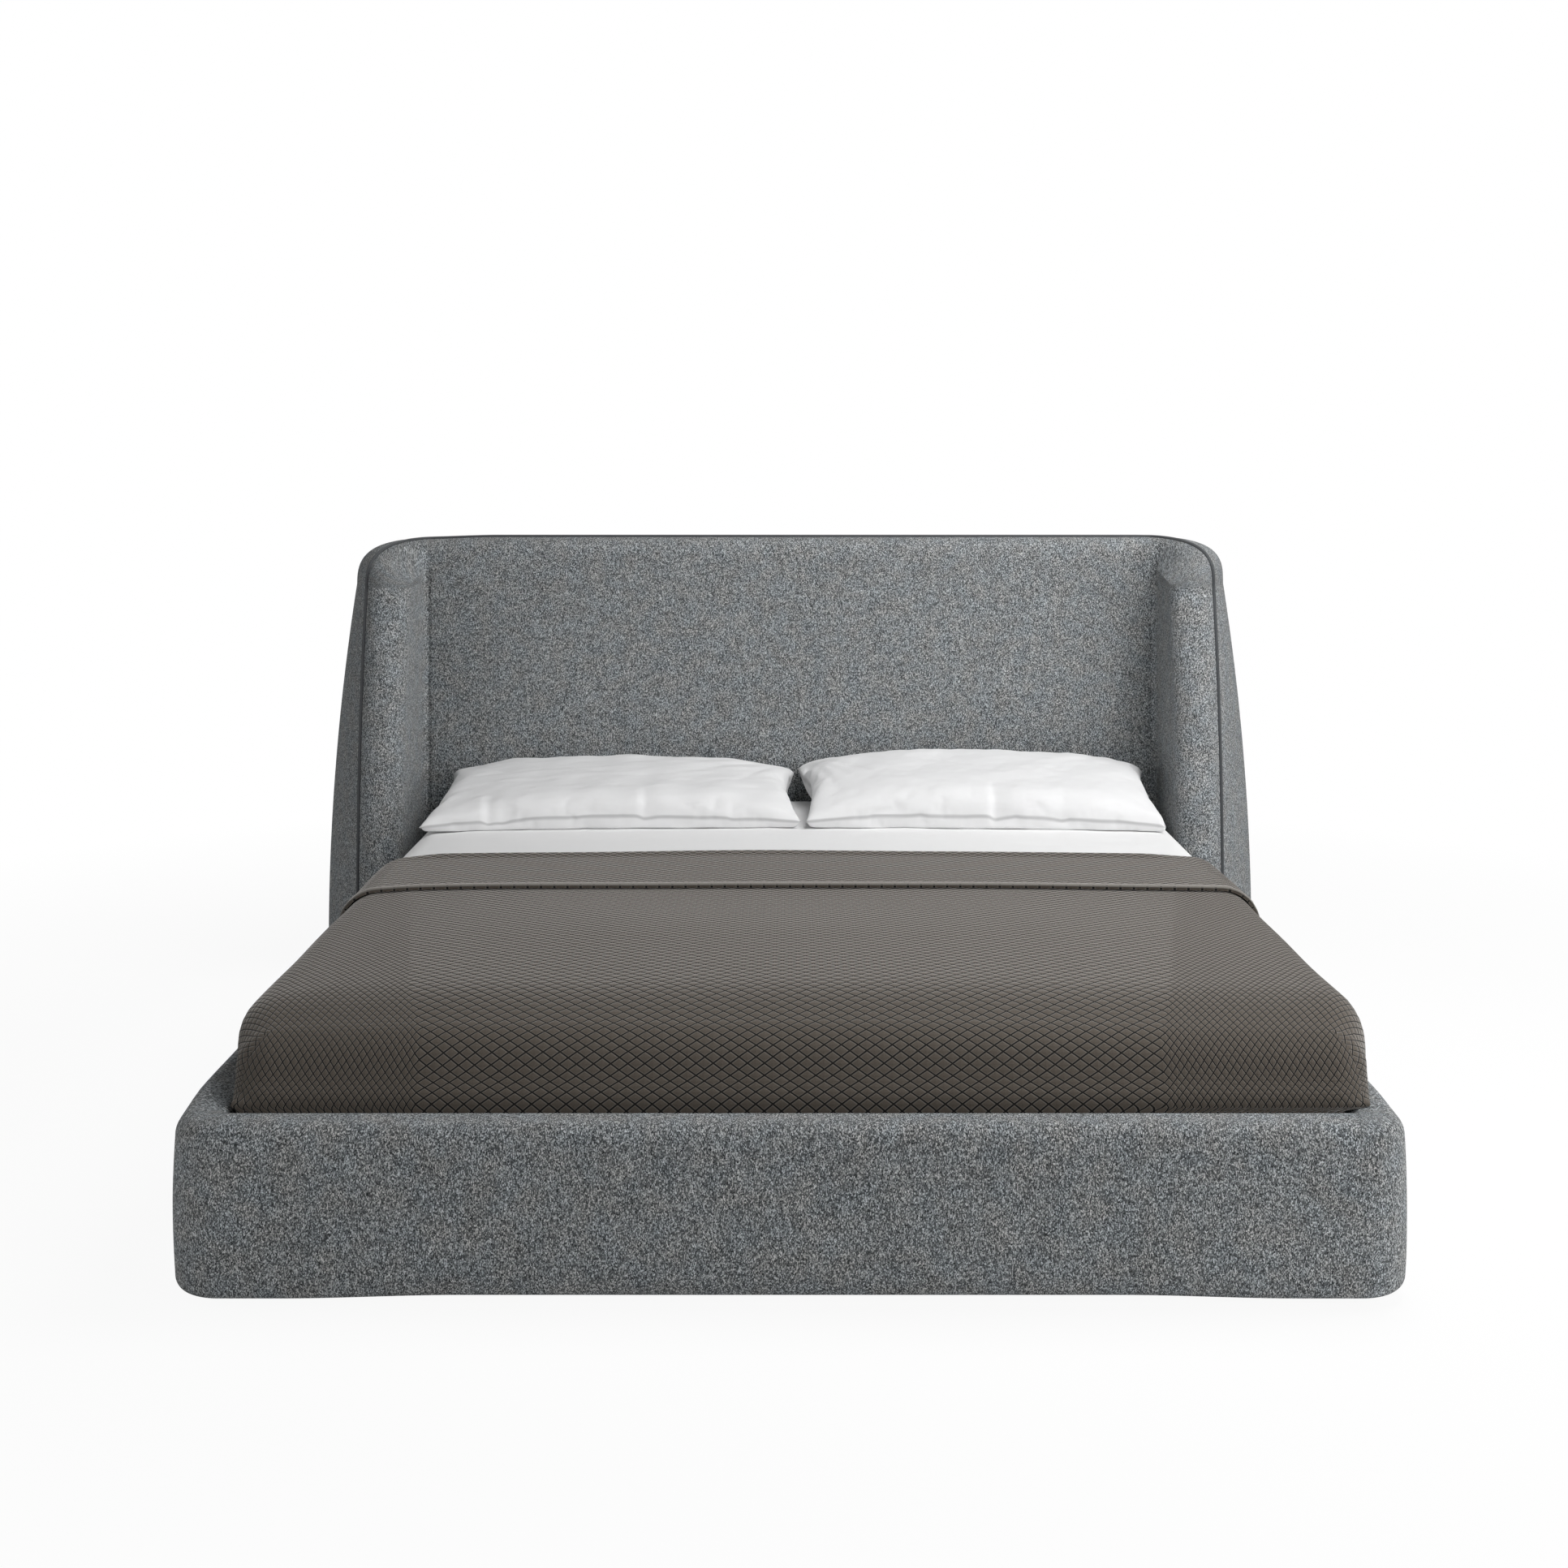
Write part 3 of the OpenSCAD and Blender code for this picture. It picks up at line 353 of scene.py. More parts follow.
@dataclass(frozen=True)
class WovenUpholstery:
    """Chunky grey-blue melange weave with upright slubs."""

    name: str = "woven_upholstery"
    pitch: float = 0.00125
    slub: float = 0.0026
    dark: Colour = (0.012, 0.014, 0.015)
    mid: Colour = (0.161, 0.173, 0.178)
    light: Colour = (0.817, 0.845, 0.85)

    def make(self) -> bpy.types.Material:
        """Builds the material."""
        g = Graph(self.name)
        u, v = g.cloth_uv()
        drift = g.math("MULTIPLY", g.noise(g.pair(u, v), 60.0, 1.0), 1.5)
        x = g.math("ADD", g.math("DIVIDE", u, self.pitch), drift)
        y = g.math("DIVIDE", v, self.pitch)
        col, row = g.math("FLOOR", x), g.math("FLOOR", y)
        start = g.white(g.pair(col, 7.0))
        upright = g.white(g.pair(col, g.math("FLOOR", g.math(
            "ADD", g.math("DIVIDE", v, self.slub), g.math("MULTIPLY", start, 9.0)))))
        cell = g.white(g.pair(col, row, 3.0))
        patch = g.noise(g.pair(u, v), 14.0, 1.0)
        value = g.math("MULTIPLY_ADD", upright, 0.6, g.math("MULTIPLY", cell, 0.4))
        value = g.math("ADD", value, g.math("MULTIPLY_ADD", patch, 0.06, -0.03))
        colour = g.ramp(value, [(0.08, self.dark), (0.5, self.mid), (0.95, self.light)])
        tint = g.noise(g.pair(u, v), 22.0, 1.0)
        cool = g.blend(1.0, colour, (0.97, 1.0, 1.03), "MULTIPLY")
        warm = g.blend(1.0, colour, (1.03, 1.0, 0.98), "MULTIPLY")
        colour = g.blend(g.math("MULTIPLY_ADD", tint, 3.0, -1.0), cool, warm)
        hump = g.math("MULTIPLY", *[
            g.math("SINE", g.math("MULTIPLY", g.math("FRACT", c), math.pi)) for c in (x, y)])
        height = g.math("ADD", hump, upright)
        return g.finish(colour, 0.92, g.bump(height, 0.0004), sheen_weight=0.12,
                        sheen_roughness=0.5, specular_ior_level=0.2)


@dataclass(frozen=True)
class Piping:
    """Smooth dark grey cloth over a cord."""

    colour: Colour = (0.034, 0.038, 0.042)

    def make(self) -> bpy.types.Material:
        """Builds the material."""
        g = Graph("welt_piping")
        place = g.place()
        fine = g.noise(place, 900.0, 2.0)
        tone = g.noise(place, 30.0, 2.0)
        dark = tuple(c * 0.75 for c in self.colour)
        return g.finish(g.blend(tone, dark, self.colour), 0.62, g.bump(fine, 0.0003),
                        sheen_weight=0.1)


@dataclass(frozen=True)
class QuiltedCloth:
    """Taupe velvety cloth, stitched in diamonds with thin dark seams: the seams carry painted shade
    for the stitched grooves, and a lighter band beside each seam is a painted highlight.
    """

    cell: tuple[float, float] = (0.025, 0.017)
    base: Colour = (0.086, 0.070, 0.056)
    # Lighter grey: mixed in at random by the nap, and also the painted highlight beside each seam.
    edge: Colour = (0.185, 0.173, 0.154)
    # Near-black seam colour: painted shade in the stitched grooves, over the dark thread.
    stitch_and_groove_shade: Colour = (0.004, 0.0035, 0.003)
    sheen: float = 0.80
    depth: float = 0.0016
    groove_w: float = 0.14
    seam_shade_w: tuple[float, float] = (0.050, 0.100)
    painted_highlight_w: tuple[float, float] = (0.09, 0.20)
    painted_highlight_share: float = 0.6
    quilted: bool = True

    def make(self) -> bpy.types.Material:
        """Builds the material."""
        g = Graph("quilted_cloth" if self.quilted else "coverlet_hem_cloth")
        u, v = g.cloth_uv()
        nap = g.noise(g.pair(u, v), 420.0, 3.0, 0.65)
        tone = g.noise(g.pair(u, v), 9.0, 2.0)
        normal = g.bump(nap, 0.0003)
        colour = g.blend(g.math("MULTIPLY_ADD", nap, 0.5, -0.1), self.base, self.edge)
        colour = g.blend(g.math("MULTIPLY", tone, 0.3), colour,
                         tuple(c * 0.8 for c in self.base))
        weight: float | Socket = self.sheen
        if self.quilted:
            a = g.math("DIVIDE", u, self.cell[0])
            b = g.math("DIVIDE", v, self.cell[1])
            line = [g.math("ABSOLUTE", g.math("SUBTRACT", g.math("FRACT", g.math(how, a, b)), 0.5))
                    for how in ("ADD", "SUBTRACT")]
            near = g.math("SUBTRACT", 0.5, g.math("MAXIMUM", *line))
            puff = g.math("POWER", g.math("MULTIPLY", near, 2.0), 0.8)
            groove = self.eased(g, near, 0.0, self.groove_w, 0.0, 1.0)
            # Painted shade: along each stitched groove the colour goes near black, and the sheen is
            # taken off there too.
            seam = self.eased(g, near, *self.seam_shade_w, 1.0, 0.0)
            # Painted highlight: a lighter band of the edge colour just inside each seam, for the lit
            # shoulder of each puffed diamond, partly also the cloth's greyer tone there.
            rim = self.eased(g, near, *self.painted_highlight_w, self.painted_highlight_share, 0.0)
            height = g.math("MULTIPLY_ADD", groove, 0.45, g.math("MULTIPLY", puff, 0.55))
            normal = g.bump(height, self.depth, 1.0, normal)
            colour = g.blend(seam, g.blend(rim, colour, self.edge), self.stitch_and_groove_shade)
            weight = g.math("MULTIPLY", g.math("SUBTRACT", 1.0, seam), self.sheen)
        return g.finish(colour, 0.85, normal, sheen_weight=weight, sheen_roughness=0.3,
                        sheen_tint=(0.85, 0.83, 0.80), specular_ior_level=0.2)

    def eased(self, g: Graph, value: Socket, low: float, high: float, start: float,
              end: float) -> Socket:
        """Maps a value from low..high to start..end, eased."""
        return g.node("ShaderNodeMapRange", {0: value, 1: low, 2: high, 3: start, 4: end},
                      interpolation_type="SMOOTHSTEP").outputs[0]


@dataclass(frozen=True)
class Cotton:
    """White bed linen with a fine weave; a case's sewn rim is darkened to a grey line, painted shade
    of the seam.
    """

    name: str = "white_linen"
    colour: Colour = (0.90, 0.90, 0.90)
    sewn: tuple[float, float] | None = None
    seam_shade_w: tuple[float, float] = (0.985, 0.997)
    seam_shade_share: float = 0.6

    def make(self) -> bpy.types.Material:
        """Builds the material."""
        g = Graph(self.name)
        u, v = g.cloth_uv()
        weave = [g.math("SINE", g.math("MULTIPLY", c, math.tau / 0.0006)) for c in (u, v)]
        crease = g.noise(g.pair(u, v), 16.0, 4.0, 0.55)
        tone = g.noise(g.pair(u, v), 60.0, 2.0)
        normal = g.bump(g.math("MULTIPLY", *weave), 0.00008)
        normal = g.bump(crease, 0.004, 0.5, normal)
        colour = g.blend(tone, self.colour, tuple(c * 0.975 for c in self.colour))
        # Painted shade: a grey line along the sewn rim, for the shade in the knife-edge seam.
        if self.sewn:
            out = [g.math("DIVIDE", g.math("ABSOLUTE", c), half)
                   for c, half in zip((u, v), self.sewn)]
            near = g.node("ShaderNodeMapRange", {
                0: g.math("MAXIMUM", *out), 1: self.seam_shade_w[0], 2: self.seam_shade_w[1], 3: 0.0,
                4: self.seam_shade_share}).outputs[0]
            colour = g.blend(near, colour, tuple(c * 0.45 for c in self.colour))
        return g.finish(colour, 0.9, normal, sheen_weight=0.1, specular_ior_level=0.2)


@dataclass(frozen=True)
class Ticking:
    """Off-white knitted mattress cover, softly quilted."""

    colour: Colour = (0.72, 0.71, 0.68)

    def make(self) -> bpy.types.Material:
        """Builds the material."""
        g = Graph("mattress_ticking")
        place = g.place()
        knit = g.noise(place, 700.0, 2.0)
        cell = g.node("ShaderNodeTexVoronoi", {"Vector": place, "Scale": 11.0}).outputs[0]
        normal = g.bump(cell, 0.006, 0.6, g.bump(knit, 0.0003))
        return g.finish(g.blend(knit, self.colour, tuple(c * 0.9 for c in self.colour)), 0.9,
                        normal, sheen_weight=0.1)


@dataclass(frozen=True)
class Wood:
    """Sawn or laminated wood with grain along one axis."""

    name: str
    colour: Colour
    dark: Colour
    stretch: tuple[float, float, float] = (1.0, 0.06, 1.0)

    def make(self) -> bpy.types.Material:
        """Builds the material."""
        g = Graph(self.name)
        turned = g.node("ShaderNodeMapping", {"Vector": g.place(), "Scale": self.stretch})
        grain = g.noise(turned.outputs[0], 60.0, 5.0, 0.6)
        rings = g.node("ShaderNodeTexWave", {"Vector": turned.outputs[0], "Scale": 9.0,
                       "Distortion": 6.0, "Detail": 3.0}).outputs[1]
        tone = g.math("MULTIPLY_ADD", rings, 0.45, g.math("MULTIPLY", grain, 0.55))
        colour = g.ramp(tone, [(0.2, self.dark), (0.75, self.colour)])
        rough = g.math("MULTIPLY_ADD", grain, 0.2, 0.5)
        return g.finish(colour, rough, g.bump(grain, 0.0006))


@dataclass(frozen=True)
class Metal:
    """Zinc-plated steel."""

    colour: Colour = (0.58, 0.59, 0.60)

    def make(self) -> bpy.types.Material:
        """Builds the material."""
        g = Graph("zinc_steel")
        cloud = g.noise(g.place(), 45.0, 4.0, 0.6)
        colour = g.blend(cloud, tuple(c * 0.8 for c in self.colour), self.colour)
        rough = g.math("MULTIPLY_ADD", cloud, 0.25, 0.22)
        return g.finish(colour, rough, g.bump(cloud, 0.0002), metallic=1.0)


@dataclass(frozen=True)
class Plain:
    """Moulded, pressed or non-woven material with a fine grain."""

    name: str
    colour: Colour
    rough: float
    grain: float
    depth: float

    def make(self) -> bpy.types.Material:
        """Builds the material."""
        g = Graph(self.name)
        fine = g.noise(g.place(), self.grain, 3.0, 0.6)
        tone = g.noise(g.place(), 12.0, 2.0)
        shade = g.math("MULTIPLY_ADD", tone, 0.5, g.math("MULTIPLY", fine, 0.5))
        colour = g.blend(shade, tuple(c * 0.72 for c in self.colour), self.colour)
        return g.finish(colour, g.math("MULTIPLY_ADD", fine, 0.15, self.rough),
                        g.bump(fine, self.depth))


@dataclass
class Finishes:
    """Every material of the bed, made once."""

    weave: bpy.types.Material = field(default_factory=lambda: WovenUpholstery().make())
    headboard: bpy.types.Material = field(default_factory=lambda: WovenUpholstery(
        "headboard_weave").make())
    piping: bpy.types.Material = field(default_factory=lambda: Piping().make())
    quilt: bpy.types.Material = field(default_factory=lambda: QuiltedCloth().make())
    hem: bpy.types.Material = field(default_factory=lambda: QuiltedCloth(
        base=(0.178, 0.165, 0.149), edge=(0.230, 0.220, 0.203), quilted=False).make())
    linen: bpy.types.Material = field(default_factory=lambda: Cotton().make())
    pillowcase: bpy.types.Material = field(default_factory=lambda: Cotton(
        "pillow_cotton", (0.88, 0.88, 0.885), (0.45, 0.26)).make())
    ticking: bpy.types.Material = field(default_factory=lambda: Ticking().make())
    timber: bpy.types.Material = field(default_factory=lambda: Wood(
        "pine_timber", (0.66, 0.47, 0.28), (0.42, 0.26, 0.13)).make())
    birch: bpy.types.Material = field(default_factory=lambda: Wood(
        "birch_plywood", (0.75, 0.61, 0.42), (0.58, 0.43, 0.27), (0.06, 1.0, 1.0)).make())
    steel: bpy.types.Material = field(default_factory=lambda: Metal().make())
    plastic: bpy.types.Material = field(default_factory=lambda: Plain(
        "moulded_plastic", (0.03, 0.03, 0.032), 0.42, 600.0, 0.0001).make())
    felt: bpy.types.Material = field(default_factory=lambda: Plain(
        "pressed_felt", (0.12, 0.115, 0.11), 0.8, 900.0, 0.0006).make())
    lining: bpy.types.Material = field(default_factory=lambda: Plain(
        "back_lining", (0.045, 0.047, 0.05), 0.78, 1400.0, 0.0003).make())


@dataclass
class Studio:
    """Camera, floor and lights."""

    focal: float = 2490.0
    image: float = 1932.0
    vanishing: tuple[float, float] = (973.5, 565.0)
    eye: tuple[float, float, float] = (0.0, -3.968, 1.206)
    glow: float = 0.93
    fade: tuple[float, float] = (1.6, 3.2)
    fill: float = 0.12

    def camera(self) -> None:
        """Sets the camera where the photograph was taken from."""
        data = bpy.data.cameras.new("camera")
        eye = bpy.data.objects.new("camera", data)
        bpy.context.scene.collection.objects.link(eye)
        eye.location = self.eye
        eye.rotation_euler = (math.pi / 2, 0, 0)
        data.sensor_width = 36
        data.lens = self.focal / self.image * data.sensor_width
        data.shift_x = -(self.vanishing[0] - self.image / 2) / self.image
        data.shift_y = (self.vanishing[1] - self.image / 2) / self.image
        bpy.context.scene.camera = eye

    def lamp(self, name: str, place: Sequence[float], aim: Sequence[float], size: float,
             power: float) -> None:
        """Adds a soft square lamp.

        Args:
            name: Name of the lamp.
            place: Where it hangs.
            aim: The point it faces.
            size: Length of its sides.
            power: Power in watts.
        """
        data = bpy.data.lights.new(name, "AREA")
        data.energy, data.size = power, size
        lamp = bpy.data.objects.new(name, data)
        bpy.context.scene.collection.objects.link(lamp)
        lamp.location = place
        way = bpy.context.scene.camera.location.__class__(aim) - lamp.location
        lamp.rotation_euler = way.to_track_quat("-Z", "Y").to_euler()

    def light(self) -> None:
        """Hangs the lamps and lights the room."""
        self.lamp("key", (3.4, -4.6, 1.7), (0.0, -0.4, 0.4), 1.8, 24.0)
        self.lamp("low_right", (2.6, -3.2, 1.3), (0.3, -0.5, 0.3), 1.0, 27.0)
        self.lamp("overhead", (1.2, -0.3, 2.8), (0.2, 0.2, 0.4), 1.6, 61.0)
        self.lamp("side_right", (2.6, -0.8, 1.2), (0.4, -0.5, 0.4), 1.0, 14.0)
        self.lamp("side_left", (-4.0, -1.0, 1.6), (-1.0, 0.8, 0.6), 2.0, 11.5)
        self.lamp("low_left", (-2.6, -2.6, 1.0), (-1.1, 0.7, 0.6), 1.0, 10.0)
        world = bpy.data.worlds.new("room")
        bpy.context.scene.world = world
        world.use_nodes = True
        tree = world.node_tree
        back = tree.nodes["Background"]
        back.inputs[0].default_value = (1.0, 1.0, 1.0, 1.0)
        back.inputs[1].default_value = self.fill
        sky = tree.nodes.new("ShaderNodeBackground")
        sky.inputs[0].default_value = (1.0, 1.0, 1.0, 1.0)
        path = tree.nodes.new("ShaderNodeLightPath")
        most = [tree.nodes.new("ShaderNodeMath") for _ in range(2)]
        for node in most:
            node.operation = "MAXIMUM"
        join = tree.nodes.new("ShaderNodeMixShader")
        link = tree.links.new
        link(path.outputs["Is Camera Ray"], most[0].inputs[0])
        link(path.outputs["Is Glossy Ray"], most[0].inputs[1])
        link(most[0].outputs[0], most[1].inputs[0])
        link(path.outputs["Is Transmission Ray"], most[1].inputs[1])
        link(most[1].outputs[0], join.inputs[0])
        link(back.outputs[0], join.inputs[1])
        link(sky.outputs[0], join.inputs[2])
        link(join.outputs[0], tree.nodes["World Output"].inputs[0])

    def floor(self) -> None:
        """Lays a plain pale floor that keeps the bed's shadow."""
        g = Graph("studio_floor")
        paint = g.node("ShaderNodeBsdfDiffuse", {0: (0.92, 0.92, 0.92)})
        glow = g.node("ShaderNodeEmission", {0: (1.0, 1.0, 1.0), 1: 1.0})
        path = g.node("ShaderNodeLightPath")
        away = g.node("ShaderNodeVectorMath", {0: g.place()}, operation="LENGTH").outputs[1]
        near = g.node("ShaderNodeMapRange", {0: away, 1: self.fade[0], 2: self.fade[1], 3: self.glow,
                                             4: 1.0}).outputs[0]
        share = g.math("MULTIPLY", path.outputs["Is Camera Ray"], near)
        join = g.node("ShaderNodeMixShader", {0: share})
        g.tree.links.new(paint.outputs[0], join.inputs[1])
        g.tree.links.new(glow.outputs[0], join.inputs[2])
        g.tree.links.new(join.outputs[0], g.tree.nodes["Material Output"].inputs[0])
        mesh = bpy.data.meshes.new("floor")
        far = 30.0
        mesh.from_pydata([(-far, -far, 0), (far, -far, 0), (far, far, 0), (-far, far, 0)], [],
                         [(0, 1, 2, 3)])
        shown("floor", mesh, g.material)

    def build(self) -> None:
        """Sets up the whole studio."""
        bpy.context.scene.view_settings.view_transform = "Standard"
        self.camera()
        self.light()
        self.floor()


@dataclass
class Sizes:
    """The bed's sizes in metres: the CAD model's, with rail edges rounded as the fabric lies."""

    rail_in: float = 0.815
    rail_t: float = 0.076
    lining: float = 0.010
    board: float = 0.024
    floor_gap: float = 0.015
    rail_top: float = 0.262
    board_top: float = 0.240
    top_round: float = 0.030
    bottom_round: float = 0.018
    inner_round: float = 0.014
    crown: float = 0.003
    corner_extra: float = 0.004
    foot_y: float = -1.118
    panel_y: float = 0.978
    mattress_foot: float = -1.027
    mattress_head: float = 0.973
    mattress_w: float = 1.600
    base: float = 0.171
    top: float = 0.371
    headboard_h: float = 1.015
    headboard_z: float = 0.020
    headboard_t: float = 0.140
    seam_x: float = 0.885
    foam: float = 0.050
    step: float = 0.012
    nose_r: float = 0.052
    roll_r: float = 0.044
    welt_r: float = 0.0046
    welt_angle: float = 25.0
    groove: float = math.sqrt(2) * 0.0038
    wing_depth: float = 0.313
    wing_sweep: float = 0.135
    flare: float = 0.246
    taper: float = 0.092
    shell_round: float = 0.050
    shell_foam: float = 0.024
    back_t: float = 0.012
    back_reach: float = 0.050
    frame_r: float = 0.060
    board_r: float = 0.042
    front_set: float = 0.060
    coverlet_t: float = 0.009
    fold_y: float = 0.216
    hem_y: float = -0.104
    hem_w: float = 0.024
    pillow_lift: float = 0.0024

    @property
    def rail_out(self) -> float:
        """Outer face of the side rails."""
        return self.rail_in + self.rail_t

    @property
    def nose_c(self) -> float:
        """Middle of the wing's nose, outwards from the seam."""
        return self.step + self.nose_r

    @property
    def welt_out(self) -> float:
        """Middle of the welt, outwards from the seam."""
        return self.nose_c + self.nose_r * math.cos(math.radians(self.welt_angle))

    @property
    def pillow_rest(self) -> float:
        """Height at which a pillow rests on the sheet."""
        return self.top + self.pillow_lift

    @property
    def pivot_z(self) -> float:
        """Height about which the top corners turn."""
        return self.headboard_h - self.welt_out


SIZES = Sizes()


@dataclass
class Surround:
    """Padded rails: one fabric skin round the foot and both sides."""

    finishes: Finishes
    sizes: Sizes = field(default_factory=lambda: SIZES)
    lift: float = 0.005
    lumps: float = 0.0009
    fuller_left: float = 0.008
    fuller_right: float = 0.003

    def section(self) -> Array:
        """Returns the rail's section: distance from the inner face, height, and 1 if square."""
        s = self.sizes
        low = arc((s.rail_t - s.bottom_round, s.floor_gap + s.bottom_round),
                  (s.bottom_round - s.crown, s.bottom_round), -90, 0, 8)
        high = arc((s.rail_t - s.top_round, s.rail_top - s.top_round),
                   (s.top_round - s.crown, s.top_round), 0, 90, 10)
        t = np.linspace(0, 1, 14)[1:-1]
        middle = np.stack([s.rail_t - s.crown * (2 * t - 1) ** 2,
                           mix(low[-1, 1], high[0, 1], t)], 1)
        soft = np.concatenate([low, middle, high])
        inner = arc((s.inner_round, s.rail_top - s.inner_round),
                    (s.inner_round, s.inner_round), 90, 180, 5)
        foot = s.base + 0.004
        square = np.concatenate([inner, [[0, foot], [s.lining, foot], [s.lining, s.board_top],
                                         [s.lining + s.board, s.board_top]]])
        start = [[s.lining + s.board, s.floor_gap]]
        flags = np.concatenate([[1.0], np.zeros(len(soft)), np.ones(len(square))])
        return np.column_stack([np.concatenate([start, soft, square]), flags])

    def ring(self, section: Array, x: float, y: float, angle: float, extra: float) -> Array:
        """Sets the section on a ray from a point of the path's inner line."""
        a = math.radians(angle)
        reach = extra + section[:, 0]
        square = max(math.cos(a), math.sin(a))
        reach = np.where(section[:, 2] > 0.5, reach / square, reach)
        return np.stack([x + reach * math.cos(a), y - reach * math.sin(a), section[:, 1]], 1)

    def right_half(self) -> Array:
        """Returns the rings from the right side's head end to the middle of the foot."""
        s = self.sizes
        section = self.section()
        corner = s.rail_t + s.corner_extra
        cx, cy = s.rail_out - corner, s.foot_y + corner
        side = [self.ring(section, cx, y, 0, s.corner_extra)
                for y in np.linspace(s.panel_y - 0.003, cy, 60)[:-1]]
        bend = [self.ring(section, cx, cy, a, s.corner_extra) for a in np.linspace(0, 90, 17)]
        foot = [self.ring(section, x, cy, 90, s.corner_extra)
                for x in np.linspace(cx, 0, 36)[1:]]
        return np.array(side + bend + foot)

    def build(self) -> None:
        """Builds the padded skin."""
        s = self.sizes
        right = self.right_half()
        left = right[-2::-1] * np.array([-1, 1, 1])
        rings = np.concatenate([right, left])
        low = smooth((0.05 - rings[..., 2]) / 0.03) * smooth((0.72 - abs(rings[..., 0])) / 0.25)
        front = smooth((s.foot_y + 0.08 - rings[..., 1]) / 0.02)
        rings[..., 2] += self.lift * low * front
        full = np.where(rings[..., 0] < 0, self.fuller_left, self.fuller_right)
        beside = smooth((rings[..., 1] - s.foot_y - 0.05) / 0.15)
        outer = smooth((np.abs(rings[..., 0]) - s.rail_in - 0.02) / 0.03)
        high = smooth((rings[..., 2] - 0.14) / 0.08)
        rings[..., 0] += np.sign(rings[..., 0]) * full * 0.6 * beside * outer * high
        rings[..., 2] += full * beside * outer * high
        around = np.concatenate([[0], np.cumsum(np.linalg.norm(
            np.diff(rings[:, 16], axis=0), axis=1))])
        section = self.section()
        height = lengths(np.vstack([section[:, :2], section[:1, :2]]))
        height = height - height[12] + section[12, 1]
        uv = np.stack(np.meshgrid(around, height, indexing="ij"), -1)
        soft = np.zeros(rings.shape[1])
        soft[4:30] = np.sin(np.linspace(0, math.pi, 26))
        push = self.lumps * soft * waves(around[:, None], height[None, :-1], 3, 0.16)
        out = rings - rings.mean(1, keepdims=True)
        out[..., 2] = 0
        size = np.linalg.norm(out, axis=2, keepdims=True)
        rings += out / np.maximum(size, 1e-6) * push[..., None]
        shape = Shape()
        index = shape.grid(rings, uv, closed=True)
        for end in (0, -1):
            flat = section[:, :2]
            shape.cap(index[end], flat)
        piece = shape.build("rail_upholstery", self.finishes.weave)
        carried(piece, Body.BED, "upholstery", "foot_rail_padding", "side_rail_padding_left",
                "side_rail_padding_right")


